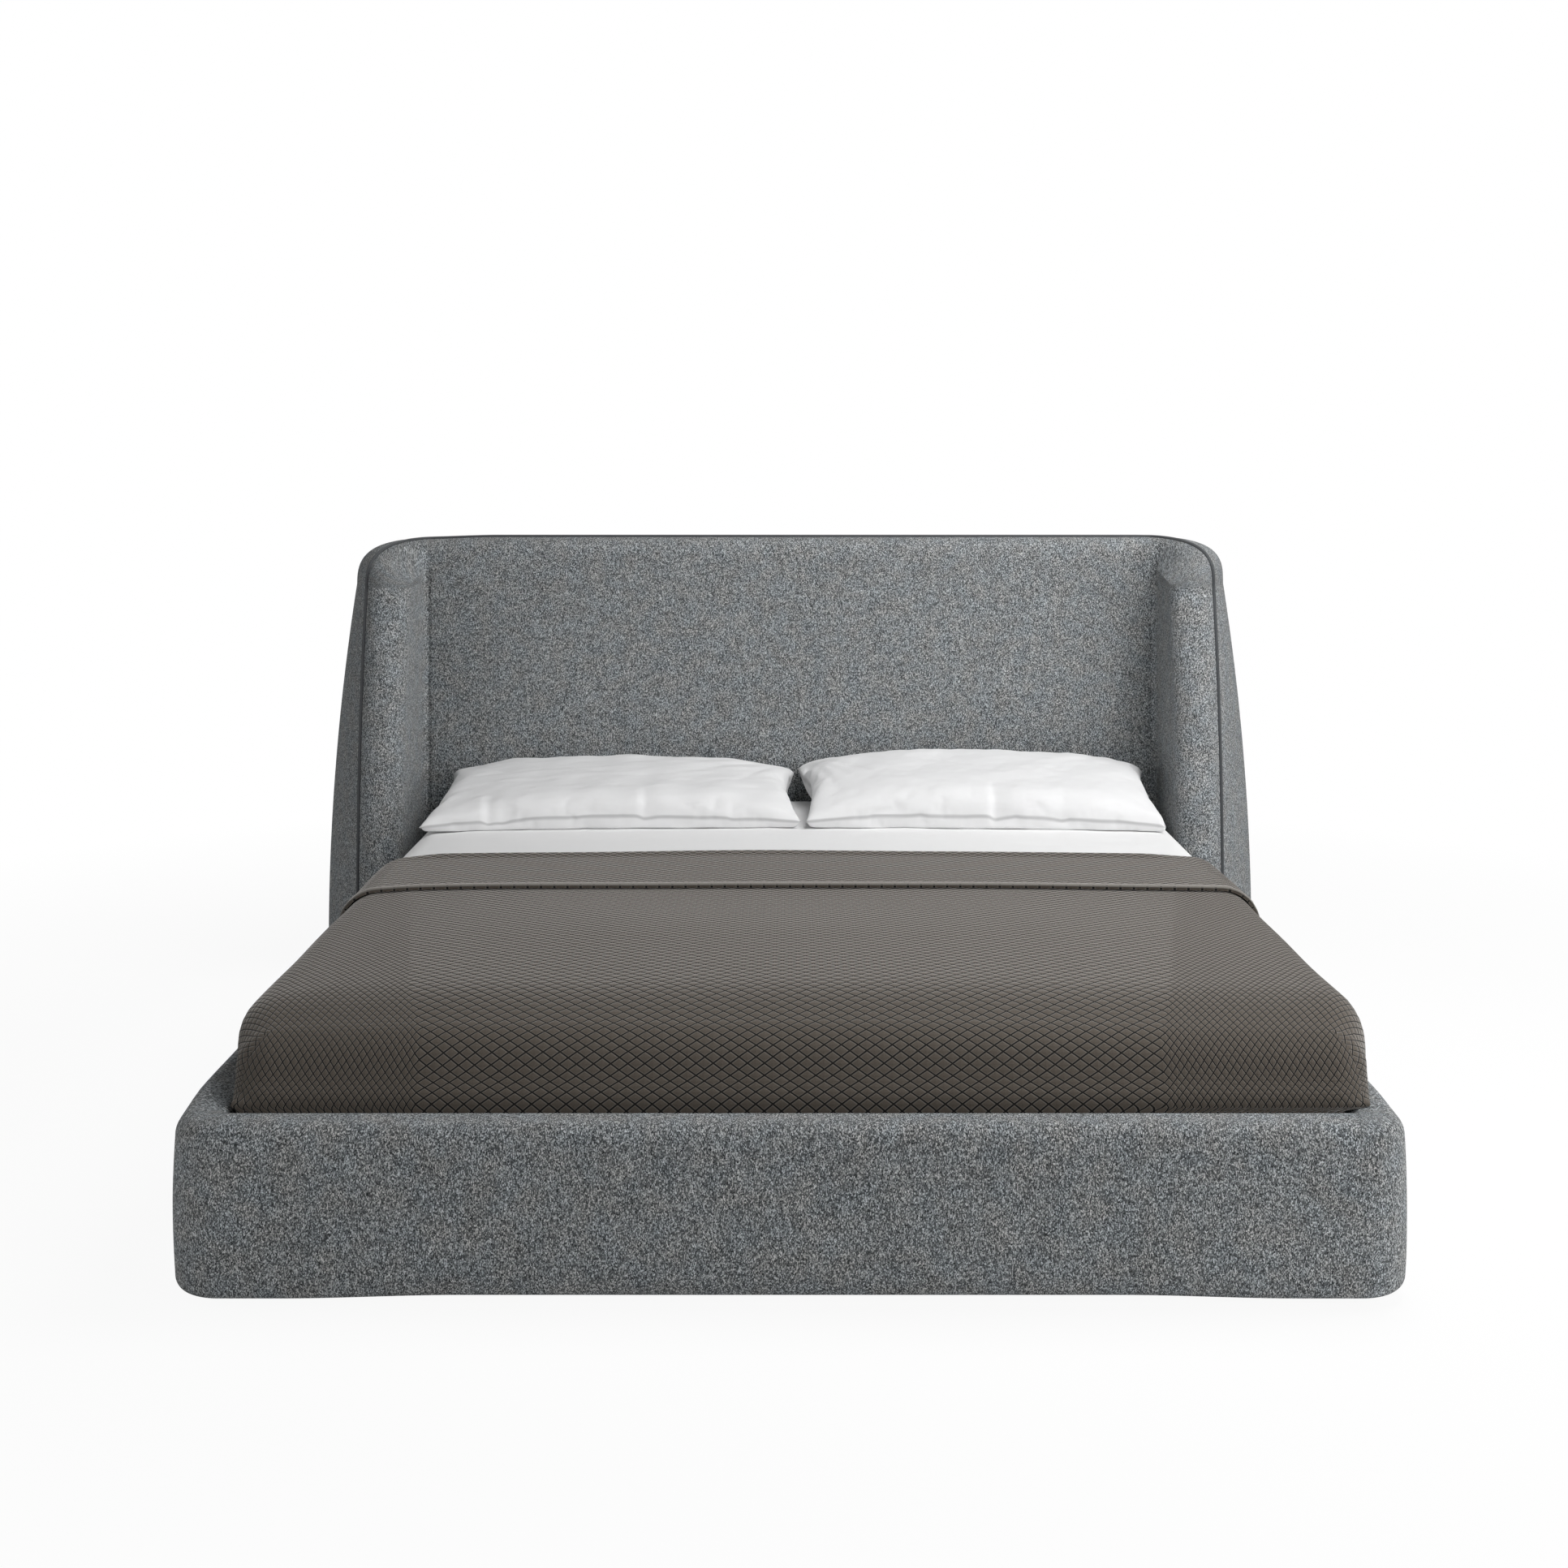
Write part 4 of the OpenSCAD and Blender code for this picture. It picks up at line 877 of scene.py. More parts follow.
@dataclass
class Headboard:
    """Panel, wings, outer shell and welt."""

    finishes: Finishes
    sizes: Sizes = field(default_factory=lambda: SIZES)
    valley: float = 0.0032
    valley_w: float = 0.0055
    seam_top: float = 0.954
    power: float = 3.2
    sweep: float = 4.5
    corner_drop: float = 0.005
    top_drop: float = 0.003
    panel_crown: float = 0.004
    up_rows: int = 46
    turn_rows: int = 30
    span_rows: int = 30

    def settled(self, points: Array) -> Array:
        """Lets the top edge sink a little, most at the left corner, as the padding does."""
        over = smooth((-points[..., 0] - 0.72) / 0.2) * smooth((points[..., 2] - 0.86) / 0.13)
        points[..., 2] -= self.corner_drop * over
        inward = smooth((-points[..., 0] - 0.86) / 0.12) * smooth((points[..., 2] - 0.90) / 0.1)
        points[..., 0] += 0.8 * self.corner_drop * inward
        high = smooth((points[..., 2] - 0.88) / 0.12)
        right = smooth((points[..., 0] - 0.84) / 0.12)
        points[..., 2] -= self.top_drop * high * (1 + 0.4 * right)
        return points

    def wing_u(self, z: float | Array) -> float | Array:
        """Depth of the wing in front of the panel at height z."""
        s = self.sizes
        rise = (z - s.headboard_z) / (s.headboard_h - s.headboard_z)
        return s.wing_depth - s.wing_sweep * rise ** 2.5

    def shell_r(self, z: float | Array) -> float | Array:
        """Reach of the shell outwards from the seam at height z."""
        s = self.sizes
        rise = (z - s.headboard_z) / (s.headboard_h - s.headboard_z)
        return s.rail_out + s.flare - s.taper * rise ** 2 - s.seam_x

    def welt_c(self, z: float) -> Array:
        """Middle of the welt on the wing at height z."""
        s = self.sizes
        lean = s.nose_r * math.sin(math.radians(s.welt_angle))
        return np.array([s.welt_out, self.wing_u(z) - s.nose_r + lean])

    @property
    def welt_axes(self) -> tuple[Array, Array]:
        """Directions outwards and along the seam at the welt."""
        a = math.radians(self.sizes.welt_angle)
        return (np.array([math.cos(a), math.sin(a)]), np.array([-math.sin(a), math.cos(a)]))

    def wing_inner(self, z: float) -> Array:
        """Section of the inner padding on the wing at height z."""
        s = self.sizes
        u, c = self.wing_u(z), self.welt_c(z)
        out, along = self.welt_axes
        cove = bezier([(0, 0), (0.010, 0.001), (s.step, 0.012), (s.step, 0.036)],
                      np.array([0, 0.06, 0.12, 0.2, 0.3, 0.42, 0.56, 0.72, 0.86, 1.0]))
        face = np.stack([np.full(6, s.step), np.linspace(0.036, u - s.nose_r, 8)[1:-1]], 1)
        nose = arc((s.nose_c, u - s.nose_r), (s.nose_r, s.nose_r), 180, 33, 22)
        back = [c + s.groove * along, c - s.groove * out,
                [s.nose_c + 0.3 * s.nose_r, u - s.front_set], [s.board_r, u - s.front_set],
                [s.board_r, -s.foam], [0, -s.foam]]
        return np.concatenate([cove, face, nose, back])

    def top_inner(self) -> Array:
        """Section over the panel's top edge, point for point as on the wing."""
        s = self.sizes
        flat_end = s.welt_out - s.roll_r
        flat = np.stack([np.linspace(0, flat_end, 17)[:-1], np.zeros(16)], 1)
        roll = arc((flat_end, -s.roll_r), (s.roll_r, s.roll_r), 90, 8, 22)
        top = np.array([s.welt_out, -s.foam])
        inner = np.linspace(s.welt_out - 2 * s.groove, 0, 4)
        back = [top + [0, s.groove], top - [s.groove, 0]] + [[r, -s.foam] for r in inner]
        return np.concatenate([flat, roll, back])

    def wing_shell(self, z: float) -> Array:
        """Section of the shell's padding on the wing at height z."""
        s = self.sizes
        r, u, c = self.shell_r(z), self.wing_u(z), self.welt_c(z)
        out, along = self.welt_axes
        rear = np.array([r - s.shell_round, s.shell_round - s.headboard_t])
        start, core = c - s.groove * along, c - s.groove * out
        outer = bezier([start, (r, 0.3 * u), (r, rear[1])], np.linspace(0, 1, 22)[:-1])
        edge = arc(rear, (s.shell_round, s.shell_round), 0, -90, 10)
        low = s.back_t - s.headboard_t
        inner = arc(rear, (s.shell_round - s.shell_foam, s.shell_round - s.back_t), -90, 0, 3)
        back = bezier([core, (r - s.shell_foam, 0.3 * u), (r - s.shell_foam, rear[1])],
                      np.linspace(0, 1, 8)[:-1])[::-1]
        return np.concatenate([outer, edge, [[s.back_reach, -s.headboard_t],
                                             [s.back_reach, low]], inner, back])

    def top_shell(self) -> Array:
        """Section of the shell over the top rail, point for point as on the wing."""
        s = self.sizes
        rear = np.array([s.welt_out - s.shell_round, s.shell_round - s.headboard_t])
        start = np.array([s.welt_out, -s.foam - s.groove])
        outer = mix(start, np.array([s.welt_out, rear[1]]), np.linspace(0, 1, 22)[:-1, None])
        edge = arc(rear, (s.shell_round, s.shell_round), 0, -90, 10)
        low = s.back_t - s.headboard_t
        up = mix(np.array([s.frame_r, low]), np.array([s.frame_r, -s.foam]),
                 np.linspace(0, 1, 4)[:, None])
        core = np.array([s.welt_out - s.groove, -s.foam])
        back = mix(np.array([s.frame_r, -s.foam]), core, np.linspace(0, 1, 8)[1:, None])
        return np.concatenate([outer, edge, [[s.back_reach, -s.headboard_t],
                                             [s.back_reach, low]], up, back])

    def turned(self, r1: Array, r2: Array, a: float) -> Array:
        """Reach round the top corner between its reach on the wing and on the top."""
        c, s = math.cos(a) / r1, math.sin(a) / r2
        return (c ** self.power + s ** self.power) ** (-1 / self.power)

    def on_wing(self, section: Array, z: float) -> Array:
        """Places a section on the right wing."""
        s = self.sizes
        return np.stack([s.seam_x + np.maximum(section[:, 0], 0.0001),
                         s.panel_y - section[:, 1], np.full(len(section), z)], 1)

    def on_corner(self, wing: Array, top: Array, degrees: float) -> Array:
        """Places a section on a ray round the right top corner."""
        s, a = self.sizes, math.radians(degrees)
        hole = 0.0001 + 0.0005 * math.sin(2 * a)
        r = self.turned(np.maximum(wing[:, 0], hole), np.maximum(top[:, 0], hole), a)
        u = mix(wing[:, 1], top[:, 1], math.sin(a) ** self.sweep)
        return np.stack([s.seam_x + r * math.cos(a), s.panel_y - u,
                         s.pivot_z + r * math.sin(a)], 1)

    def rows(self, wing: Callable[[float], Array], top: Array) -> Array:
        """Rings up the right wing and round its top corner."""
        s = self.sizes
        up = [self.on_wing(wing(z), z) for z in np.linspace(s.headboard_z, s.pivot_z, self.up_rows)]
        last = wing(s.pivot_z)
        bend = [self.on_corner(last, top, a) for a in self.turns]
        return np.array(up + bend)

    @property
    def turns(self) -> Array:
        """Angles of the rows round a top corner, in degrees."""
        return np.linspace(0, 90, self.turn_rows + 1)[1:]

    def seam_fade(self, z: Array) -> Array:
        """Share of the seam's valley at a height."""
        return smooth((self.seam_top + 0.01 - z) / 0.06)

    def wing(self, side: Side) -> None:
        """Builds one wing's inner padding."""
        s = self.sizes
        rows = self.rows(self.wing_inner, self.top_inner())
        section = self.wing_inner(0.5)
        along = lengths(section)
        front = 10 + 6 + 23
        dip = self.valley * np.exp(-(along / self.valley_w) ** 2)
        dip[front:] = 0
        rows[..., 1] += dip * self.seam_fade(rows[..., 2])
        reach = np.stack([lengths(r) for r in rows])
        reach = np.column_stack([reach, reach[:, -1] + 0.05])
        count = len(rows) - self.turn_rows
        angle = np.concatenate([np.zeros(count), np.radians(self.turns)])
        base = np.concatenate([np.linspace(s.headboard_z, s.pivot_z, count),
                               np.full(self.turn_rows, s.pivot_z)])
        u = s.seam_x + reach * np.cos(angle)[:, None]
        v = base[:, None] + reach * np.sin(angle)[:, None]
        uv = np.stack([u, v], -1)
        if side is Side.LEFT:
            rows, uv = rows * np.array([-1, 1, 1]), uv * np.array([-1, 1])
        shape = Shape()
        index = shape.grid(self.settled(rows), uv, closed=True)
        for end in (0, -1):
            shape.cap(index[end], section)
        name = side.name.lower()
        piece = shape.build(f"wing_upholstery_{name}", self.finishes.headboard)
        carried(piece, Body.BED, "upholstery", f"wing_padding_{name}")

    def panel(self) -> None:
        """Builds the centre panel with the roll over its top edge."""
        s = self.sizes
        low = s.base - 0.010
        over = self.top_inner()
        over = over[over[:, 0] > 0]
        drop = np.linspace(low - s.pivot_z, 0, 60)
        down = np.stack([drop, np.zeros(60)], 1)
        ring = np.concatenate([down, over, [[low - s.pivot_z, -s.foam]]])
        half = s.seam_x - np.concatenate([[0, 0.001, 0.0025, 0.0045, 0.007, 0.011, 0.018],
                                          np.linspace(0.03, s.seam_x, 40)])
        xs = np.concatenate([-half, half[-2::-1]])
        height = s.pivot_z + ring[:, 0]
        along = lengths(np.vstack([ring, ring[:1]])) + low
        edge = s.seam_x - np.abs(xs)
        rows = np.stack([np.stack([np.full(len(ring), x), s.panel_y - ring[:, 1], height], 1)
                         for x in xs])
        seen = np.concatenate([np.ones(60 + 14), np.zeros(len(ring) - 74)])
        dip = self.valley * np.exp(-(edge / self.valley_w) ** 2)[:, None]
        rows[..., 1] += dip * self.seam_fade(height)[None, :] * seen
        crown = self.panel_crown * smooth(edge / 0.25)[:, None] * smooth((s.pivot_z - height) / 0.2)
        rows[..., 1] -= crown * seen * smooth((height - low) / 0.2)
        uv = np.stack(np.meshgrid(xs, along, indexing="ij"), -1)
        shape = Shape()
        index = shape.grid(self.settled(rows), uv, closed=True)
        for end in (0, -1):
            shape.cap(index[end], ring)
        piece = shape.build("panel_upholstery", self.finishes.headboard)
        carried(piece, Body.BED, "upholstery", "panel_padding")

    def shell(self) -> None:
        """Builds the outer shell round both wings and the top."""
        s = self.sizes
        right = self.rows(self.wing_shell, self.top_shell())
        section = self.wing_shell(0.5)
        span = np.linspace(s.seam_x, 0, self.span_rows)[1:]
        top = np.stack([right[-1] * np.array([0, 1, 1]) + np.array([x, 0, 0]) for x in span])
        half = np.concatenate([right, top])
        rows = np.concatenate([half, half[-2::-1] * np.array([-1, 1, 1])])
        around = np.concatenate([[0], np.cumsum(np.linalg.norm(
            np.diff(rows[:, 18], axis=0), axis=1))])
        reach = np.stack([lengths(np.vstack([r, r[:1]])) for r in rows])
        uv = np.stack([reach, np.broadcast_to(around[:, None], reach.shape)], -1)
        shape = Shape()
        index = shape.grid(self.settled(rows), uv, closed=True)
        for end in (0, -1):
            shape.cap(index[end], section)
        piece = shape.build("shell_upholstery", self.finishes.headboard)
        carried(piece, Body.BED, "upholstery", "shell_padding_left", "shell_padding_right",
                "shell_padding_top")

    def welt_line(self) -> Array:
        """Returns the welt's path from the right wing's foot to the left one's."""
        s = self.sizes
        up = [self.on_wing(self.welt_c(z)[None, :], z)[0]
              for z in np.linspace(s.headboard_z, s.pivot_z, self.up_rows)]
        wing = self.welt_c(s.pivot_z)[None, :]
        top = np.array([[s.welt_out, -s.foam]])
        bend = [self.on_corner(wing, top, a)[0] for a in self.turns]
        span = [bend[-1] * np.array([0, 1, 1]) + np.array([x, 0, 0])
                for x in np.linspace(s.seam_x, 0, self.span_rows)[1:]]
        half = np.array(up + bend + span)
        return np.concatenate([half, half[-2::-1] * np.array([-1, 1, 1])])

    def welt(self) -> None:
        """Runs the piping along its path with Geometry Nodes."""
        line = self.settled(self.welt_line())
        proud = np.array([0.0012, -0.0012, 0.0012])
        line += proud * np.stack([np.sign(line[:, 0]), np.ones(len(line)),
                                  smooth((line[:, 2] - 0.9) / 0.1)], 1)
        piece = swept_cord("welt", line, self.sizes.welt_r, 0.006, 10, self.finishes.piping)
        carried(piece, Body.BED, "welt", "welt_piping")

    def build(self) -> None:
        """Builds the whole headboard."""
        self.panel()
        for side in Side:
            self.wing(side)
        self.shell()
        self.welt()


def swept_cord(name: str, line: Array, radius: float, step: float, sides: int,
               material: bpy.types.Material) -> bpy.types.Object:
    """Sweeps a round profile along a line with Geometry Nodes.

    Args:
        name: Name of the piece.
        line: Points of its middle line.
        radius: Radius of the profile.
        step: Spacing of the rings.
        sides: Number of sides of the profile.
        material: Its finish.

    Returns:
        The plain mesh object.
    """
    mesh = bpy.data.meshes.new(name)
    mesh.from_pydata(line.tolist(), [(i, i + 1) for i in range(len(line) - 1)], [])
    piece = bpy.data.objects.new(name, mesh)
    bpy.context.scene.collection.objects.link(piece)
    tree = bpy.data.node_groups.new(f"{name}_sweep", "GeometryNodeTree")
    face = tree.interface
    face.new_socket("Geometry", in_out="INPUT", socket_type="NodeSocketGeometry")
    sizes = {label: face.new_socket(label, in_out="INPUT", socket_type="NodeSocketFloat")
             for label in ("Radius", "Step")}
    face.new_socket("Geometry", in_out="OUTPUT", socket_type="NodeSocketGeometry")
    new, link = tree.nodes.new, tree.links.new
    start, end = new("NodeGroupInput"), new("NodeGroupOutput")
    curve, even = new("GeometryNodeMeshToCurve"), new("GeometryNodeResampleCurve")
    even.mode = "LENGTH"
    ring, tube = new("GeometryNodeCurvePrimitiveCircle"), new("GeometryNodeCurveToMesh")
    ring.inputs["Resolution"].default_value = sides
    tube.inputs["Fill Caps"].default_value = True
    real, paint = new("GeometryNodeRealizeInstances"), new("GeometryNodeSetMaterial")
    paint.inputs["Material"].default_value = material
    link(start.outputs["Geometry"], curve.inputs[0])
    link(curve.outputs[0], even.inputs["Curve"])
    link(start.outputs["Step"], even.inputs["Length"])
    link(start.outputs["Radius"], ring.inputs["Radius"])
    link(even.outputs[0], tube.inputs["Curve"])
    link(ring.outputs[0], tube.inputs["Profile Curve"])
    link(tube.outputs[0], real.inputs[0])
    link(real.outputs[0], paint.inputs["Geometry"])
    link(paint.outputs[0], end.inputs[0])
    modifier = piece.modifiers.new("sweep", "NODES")
    modifier.node_group = tree
    modifier[sizes["Radius"].identifier] = radius
    modifier[sizes["Step"].identifier] = step
    flattened(piece)
    tidy(piece.data)
    piece.data.materials.clear()
    piece.data.materials.append(material)
    piece.data.shade_smooth()
    piece.data.set_sharp_from_angle(angle=math.radians(50))
    return piece


@dataclass(frozen=True)
class SoftBed:
    """How the made bed sinks towards its edges, shared by mattress, sheet and coverlet."""

    left: tuple[float, float] = (0.820, 0.851)
    right: tuple[float, float] = (0.853, 0.882)
    widen: float = 0.20
    side_sink: tuple[float, float] = (0.005, 0.001)
    side_in: float = 0.15
    foot_sink: float = 0.030
    foot_in: float = 0.26
    lean: float = 0.022
    crown: float = 0.009
    nip: float = 0.006
    firm: float = 0.45
    sizes: Sizes = field(default_factory=lambda: SIZES)

    def reach(self, x: Array, y: Array, inset: float = 0.0) -> Array:
        """Distance from the middle plane to the widest point at a place."""
        share = smooth((y - self.sizes.mattress_foot - 0.01) / self.widen)
        return np.where(x < 0, mix(*self.left, share), mix(*self.right, share)) - inset

    def settled(self, points: Array, inset: float = 0.0) -> Array:
        """Sinks and leans points of the bedding.

        Args:
            points: Points of the made bed with plain rounded edges.
            inset: Distance of this layer below the coverlet's face.

        Returns:
            The points in their soft form.
        """
        s = self.sizes
        x, y, z = points[..., 0].copy(), points[..., 1].copy(), points[..., 2].copy()
        front = s.mattress_foot - 0.011 + inset
        deep = np.maximum(y - front, 0)
        side = np.maximum(self.reach(x, y, inset) - np.abs(x), 0)
        foot = self.foot_sink * (1 - smooth(deep / self.foot_in)) ** 1.7
        flank = np.where(x < 0, *self.side_sink) * (1 - smooth(side / self.side_in))
        above = smooth((z - s.rail_top) / 0.085)
        sink = (foot ** 3 + flank ** 3) ** (1 / 3)
        dome = self.crown * smooth((-0.1 - y) / 0.4) * (1 - np.clip(np.abs(x) / 0.8, 0, 1) ** 2)
        points[..., 2] = z - (sink - dome) * above
        points[..., 1] = y + self.lean * above * (1 - smooth(deep / 0.16))
        near = smooth(1 - np.hypot(deep, side) / 0.11) * smooth(deep / 0.03)
        fold = self.nip * (np.exp(-((points[..., 2] - 0.322) / 0.016) ** 2)
                           - 0.9 * np.exp(-((points[..., 2] - 0.349) / 0.005) ** 2))
        points[..., 0] += np.sign(x) * fold * near * (1 - smooth(side / 0.03))
        return points


@dataclass
class BedCloth:
    """A cloth that lies on a flat top and falls over rounded edges and corners."""

    left: float
    right: float
    foot: float
    z: float
    edge: float
    corner: float
    drop: float

    def profile(self, rho: Array) -> tuple[Array, Array]:
        """Reach and height at a distance outwards from the inner rectangle."""
        flat = self.corner - self.edge
        bend = self.edge * math.pi / 2
        a = np.clip((rho - flat) / self.edge, 0, math.pi / 2)
        reach = np.minimum(rho, flat) + self.edge * np.sin(a)
        height = self.z - self.edge * (1 - np.cos(a)) - np.maximum(rho - flat - bend, 0)
        return reach, height

    def normal(self, rho: Array) -> tuple[Array, Array]:
        """Outward and upward parts of the surface's normal."""
        a = np.clip((rho - self.corner + self.edge) / self.edge, 0, math.pi / 2)
        return np.sin(a), np.cos(a)

    def spread(self, x: Array, y: Array, nx: Array, ny: Array, rho: Array,
               off: float | Array = 0.0) -> Array:
        """Points at a distance outwards from a point of the inner rectangle.

        Args:
            x: X on the inner rectangle.
            y: Y on the inner rectangle.
            nx: Outward direction along X.
            ny: Outward direction along Y.
            rho: Distance along the cloth.
            off: Distance above the cloth.

        Returns:
            The points.
        """
        reach, height = self.profile(rho)
        out, up = self.normal(rho)
        reach = reach + off * out
        return np.stack(np.broadcast_arrays(x + nx * reach, y + ny * reach,
                                            height + off * up), -1)


@dataclass
class Coverlet:
    """Quilted coverlet, tucked in round the mattress and folded back at the head."""

    finishes: Finishes
    sizes: Sizes = field(default_factory=lambda: SIZES)
    soft: SoftBed = field(default_factory=SoftBed)
    tucked: float = 0.811
    thick: float = 0.0065
    gap: float = 0.003
    edge: float = 0.060
    cell: tuple[float, float] = (0.025, 0.017)
    lip: float = 0.004
    narrow_at: float = 0.553
    narrow_slope: float = 0.19
    front_rows: float = 0.80
    near_rows: float = 0.64
    far_rows: float = 0.90
    bend_rows: float = 0.20
    bow: float = 0.045
    hem_thick: float = 0.0035

    def cloth(self) -> BedCloth:
        """Returns the surface that the coverlet's upper face follows."""
        s = self.sizes
        return BedCloth(left=-0.786, right=0.813, foot=s.mattress_foot - 0.011 + 0.060,
                        z=s.top + 0.002 + s.coverlet_t, edge=self.edge, corner=0.060,
                        drop=0.045)

    def shaped(self, points: Array) -> Array:
        """Draws the sides in below the rail's top and lets them stand out above it."""
        s, c = self.sizes, self.cloth()
        x, y, z = points[..., 0].copy(), points[..., 1].copy(), points[..., 2]
        low = smooth((s.rail_top + 0.004 - z) / 0.010)
        plain = np.where(x < 0, *(c.corner - c.left, c.corner + c.right))
        full = self.soft.reach(x, y)
        part = np.clip((np.abs(x) - self.soft.firm) / (plain - self.soft.firm), 0, None)
        points[..., 0] += np.sign(x) * part * (mix(full, self.tucked, low) - plain)
        side = smooth((np.abs(x) - 0.70) / 0.1)
        sag = waves(y, 0 * y + x * 0.3, 31, 0.45) * side * (1 - low)
        points[..., 0] += np.sign(x) * 0.003 * sag
        points[..., 2] += 0.0015 * waves(x, y, 33, 0.5) * (z > s.top - 0.01)
        points[..., 2] += self.lip * smooth((y - s.fold_y + 0.036) / 0.036) * (
            1 - smooth((np.abs(x) - 0.70) / 0.12))
        points = self.soft.settled(points)
        points[..., 1] -= self.bow * smooth((y + 0.5) / 0.7) * (x / 0.8) ** 2
        return points

    def pattern(self, uv: Array) -> Array:
        """Warps the UVs: half-wide diamonds at the sides, and rows spaced as stretched."""
        s = self.sizes
        at = self.narrow_at + self.narrow_slope * np.maximum(uv[..., 1] - s.foot_y - 0.1, 0)
        far = np.maximum(np.abs(uv[..., 0]) - at, 0)
        warped = uv.copy()
        warped[..., 0] += np.sign(uv[..., 0]) * far
        line = np.linspace(s.foot_y - 0.3, s.fold_y + 0.6, 1200)
        share = self.stretch(line)
        way = np.concatenate([[0.0], np.cumsum(np.diff(line) * (share[1:] + share[:-1]) / 2)])
        way += s.hem_y - np.interp(s.hem_y, line, way)
        warped[..., 1] = np.interp(uv[..., 1], line, way)
        return warped

    def stretch(self, v: Array) -> Array:
        """Rows per length of cloth, as a share of the plain count: fewer where drawn tight."""
        behind = v - self.sizes.mattress_foot
        along = mix(self.near_rows, self.far_rows, smooth(behind / 0.6))
        flat = mix(self.front_rows, along, smooth((behind - 0.03) / 0.03))
        return flat + self.bend_rows * np.exp(-(behind / 0.03) ** 2)

    def body(self) -> tuple[Shape, float]:
        """Makes the patches of the main part, the roll and the folded-back part."""
        s, c = self.sizes, self.cloth()
        dv = self.cell[1] / 2
        rows = int(round((s.fold_y - c.foot) / dv))
        ys = np.linspace(c.foot, s.fold_y, rows + 1)
        xs = np.linspace(c.left, c.right, 190)
        turn = c.corner - c.edge + c.edge * math.pi / 2
        rail = turn + c.z - c.edge - s.rail_top
        drop = np.concatenate([np.linspace(0, c.corner - c.edge, 4)[:-1],
                               np.linspace(c.corner - c.edge, turn, 9)[:-1],
                               np.linspace(turn, rail - 0.012, 9)[:-1],
                               np.linspace(rail - 0.012, rail + 0.012, 9)[:-1],
                               np.linspace(rail + 0.012, rail + c.drop, 6)])
        band_ys = np.linspace(s.fold_y, s.hem_y, int(round((s.fold_y - s.hem_y) / dv)) + 1)
        lift = self.gap / 2
        phi = np.radians(np.linspace(0, 180, 9))
        off = lift * (1 - np.cos(phi))
        ahead = lift * np.sin(phi)
        main = (ys, np.zeros(len(ys)))
        roll = (s.fold_y + ahead, off)
        band = (band_ys, np.full(len(band_ys), self.gap))
        way = [ys, s.fold_y + np.linspace(0, self.gap * 1.57, 9),
               s.fold_y + self.gap * 1.57 + (s.fold_y - band_ys)]
        shape = Shape()
        for (y, above), v in zip((main, roll, band), way):
            for pts, uv in self.stripes(c, xs, drop, y, above, v):
                shape.grid(self.shaped(pts), self.pattern(uv))
        xg, rg = np.meshgrid(xs, drop, indexing="ij")
        pts = c.spread(xg, c.foot, 0 * xg, -np.ones_like(xg), rg)
        shape.grid(self.shaped(pts),
                   self.pattern(np.stack([xg, c.foot - rg], -1)))
        for sign, x in ((-1, c.left), (1, c.right)):
            for pts, uv in self.corner_patches(c, sign, x, drop):
                shape.grid(self.shaped(pts), self.pattern(uv))
        width = c.right - c.left + 2 * drop[-1]
        return shape, width

    def stripes(self, c: BedCloth, xs: Array, drop: Array, y: Array, above: Array,
                v: Array) -> list[tuple[Array, Array]]:
        """Makes the top and both sides of one length of the cloth."""
        made = []
        xg, yg = np.meshgrid(xs, y, indexing="ij")
        vg = np.broadcast_to(v[None, :], xg.shape)
        ag = np.broadcast_to(above[None, :], xg.shape)
        made.append((c.spread(xg, yg, 0 * xg, 0 * xg, 0 * xg, ag), np.stack([xg, vg], -1)))
        for sign, x in ((-1, c.left), (1, c.right)):
            rg, yg = np.meshgrid(drop, y, indexing="ij")
            vg = np.broadcast_to(v[None, :], rg.shape)
            ag = np.broadcast_to(above[None, :], rg.shape)
            pts = c.spread(np.full(rg.shape, x), yg, np.full(rg.shape, float(sign)), 0 * rg,
                           rg, ag)
            made.append((pts, np.stack([x + sign * rg, vg], -1)))
        return made

    def corner_patches(self, c: BedCloth, sign: int, x: float,
                       drop: Array) -> list[tuple[Array, Array]]:
        """Makes the two halves of one foot corner, mitred at 45 degrees."""
        made = []
        angles = np.radians(np.linspace(0, 45, 9))
        ag, rg = np.meshgrid(angles, drop, indexing="ij")
        reach = c.profile(rg)[0]
        for half in (0, 1):
            t = ag if half == 0 else math.pi / 2 - ag
            pts = c.spread(np.full(t.shape, x), np.full(t.shape, c.foot), sign * np.sin(t),
                           -np.cos(t), rg)
            low = smooth((self.sizes.rail_top + 0.023 - pts[..., 2]) / 0.02)
            fuller = 1 + 0.6 * low * (1 / np.cos(ag) - 1)
            centre = np.array([x, c.foot])
            pts[..., :2] = centre + (pts[..., :2] - centre) * fuller[..., None]
            if half == 0:
                uv = np.stack([x + sign * reach * ag, c.foot - rg], -1)
            else:
                uv = np.stack([x + sign * rg, c.foot - reach * ag], -1)
            made.append((pts, uv))
        return made

    def build(self) -> None:
        """Builds the coverlet and its hem strip."""
        shape, width = self.body()
        piece = shape.build("quilted_coverlet", self.finishes.quilt, merge=MERGE_AT, sharp=180)
        flat = surface(piece.data)
        facing_up(piece.data)
        thicken(piece, self.thick)
        carried(piece, Body.MATTRESS, "quilt", "coverlet")
        hem = self.hem()

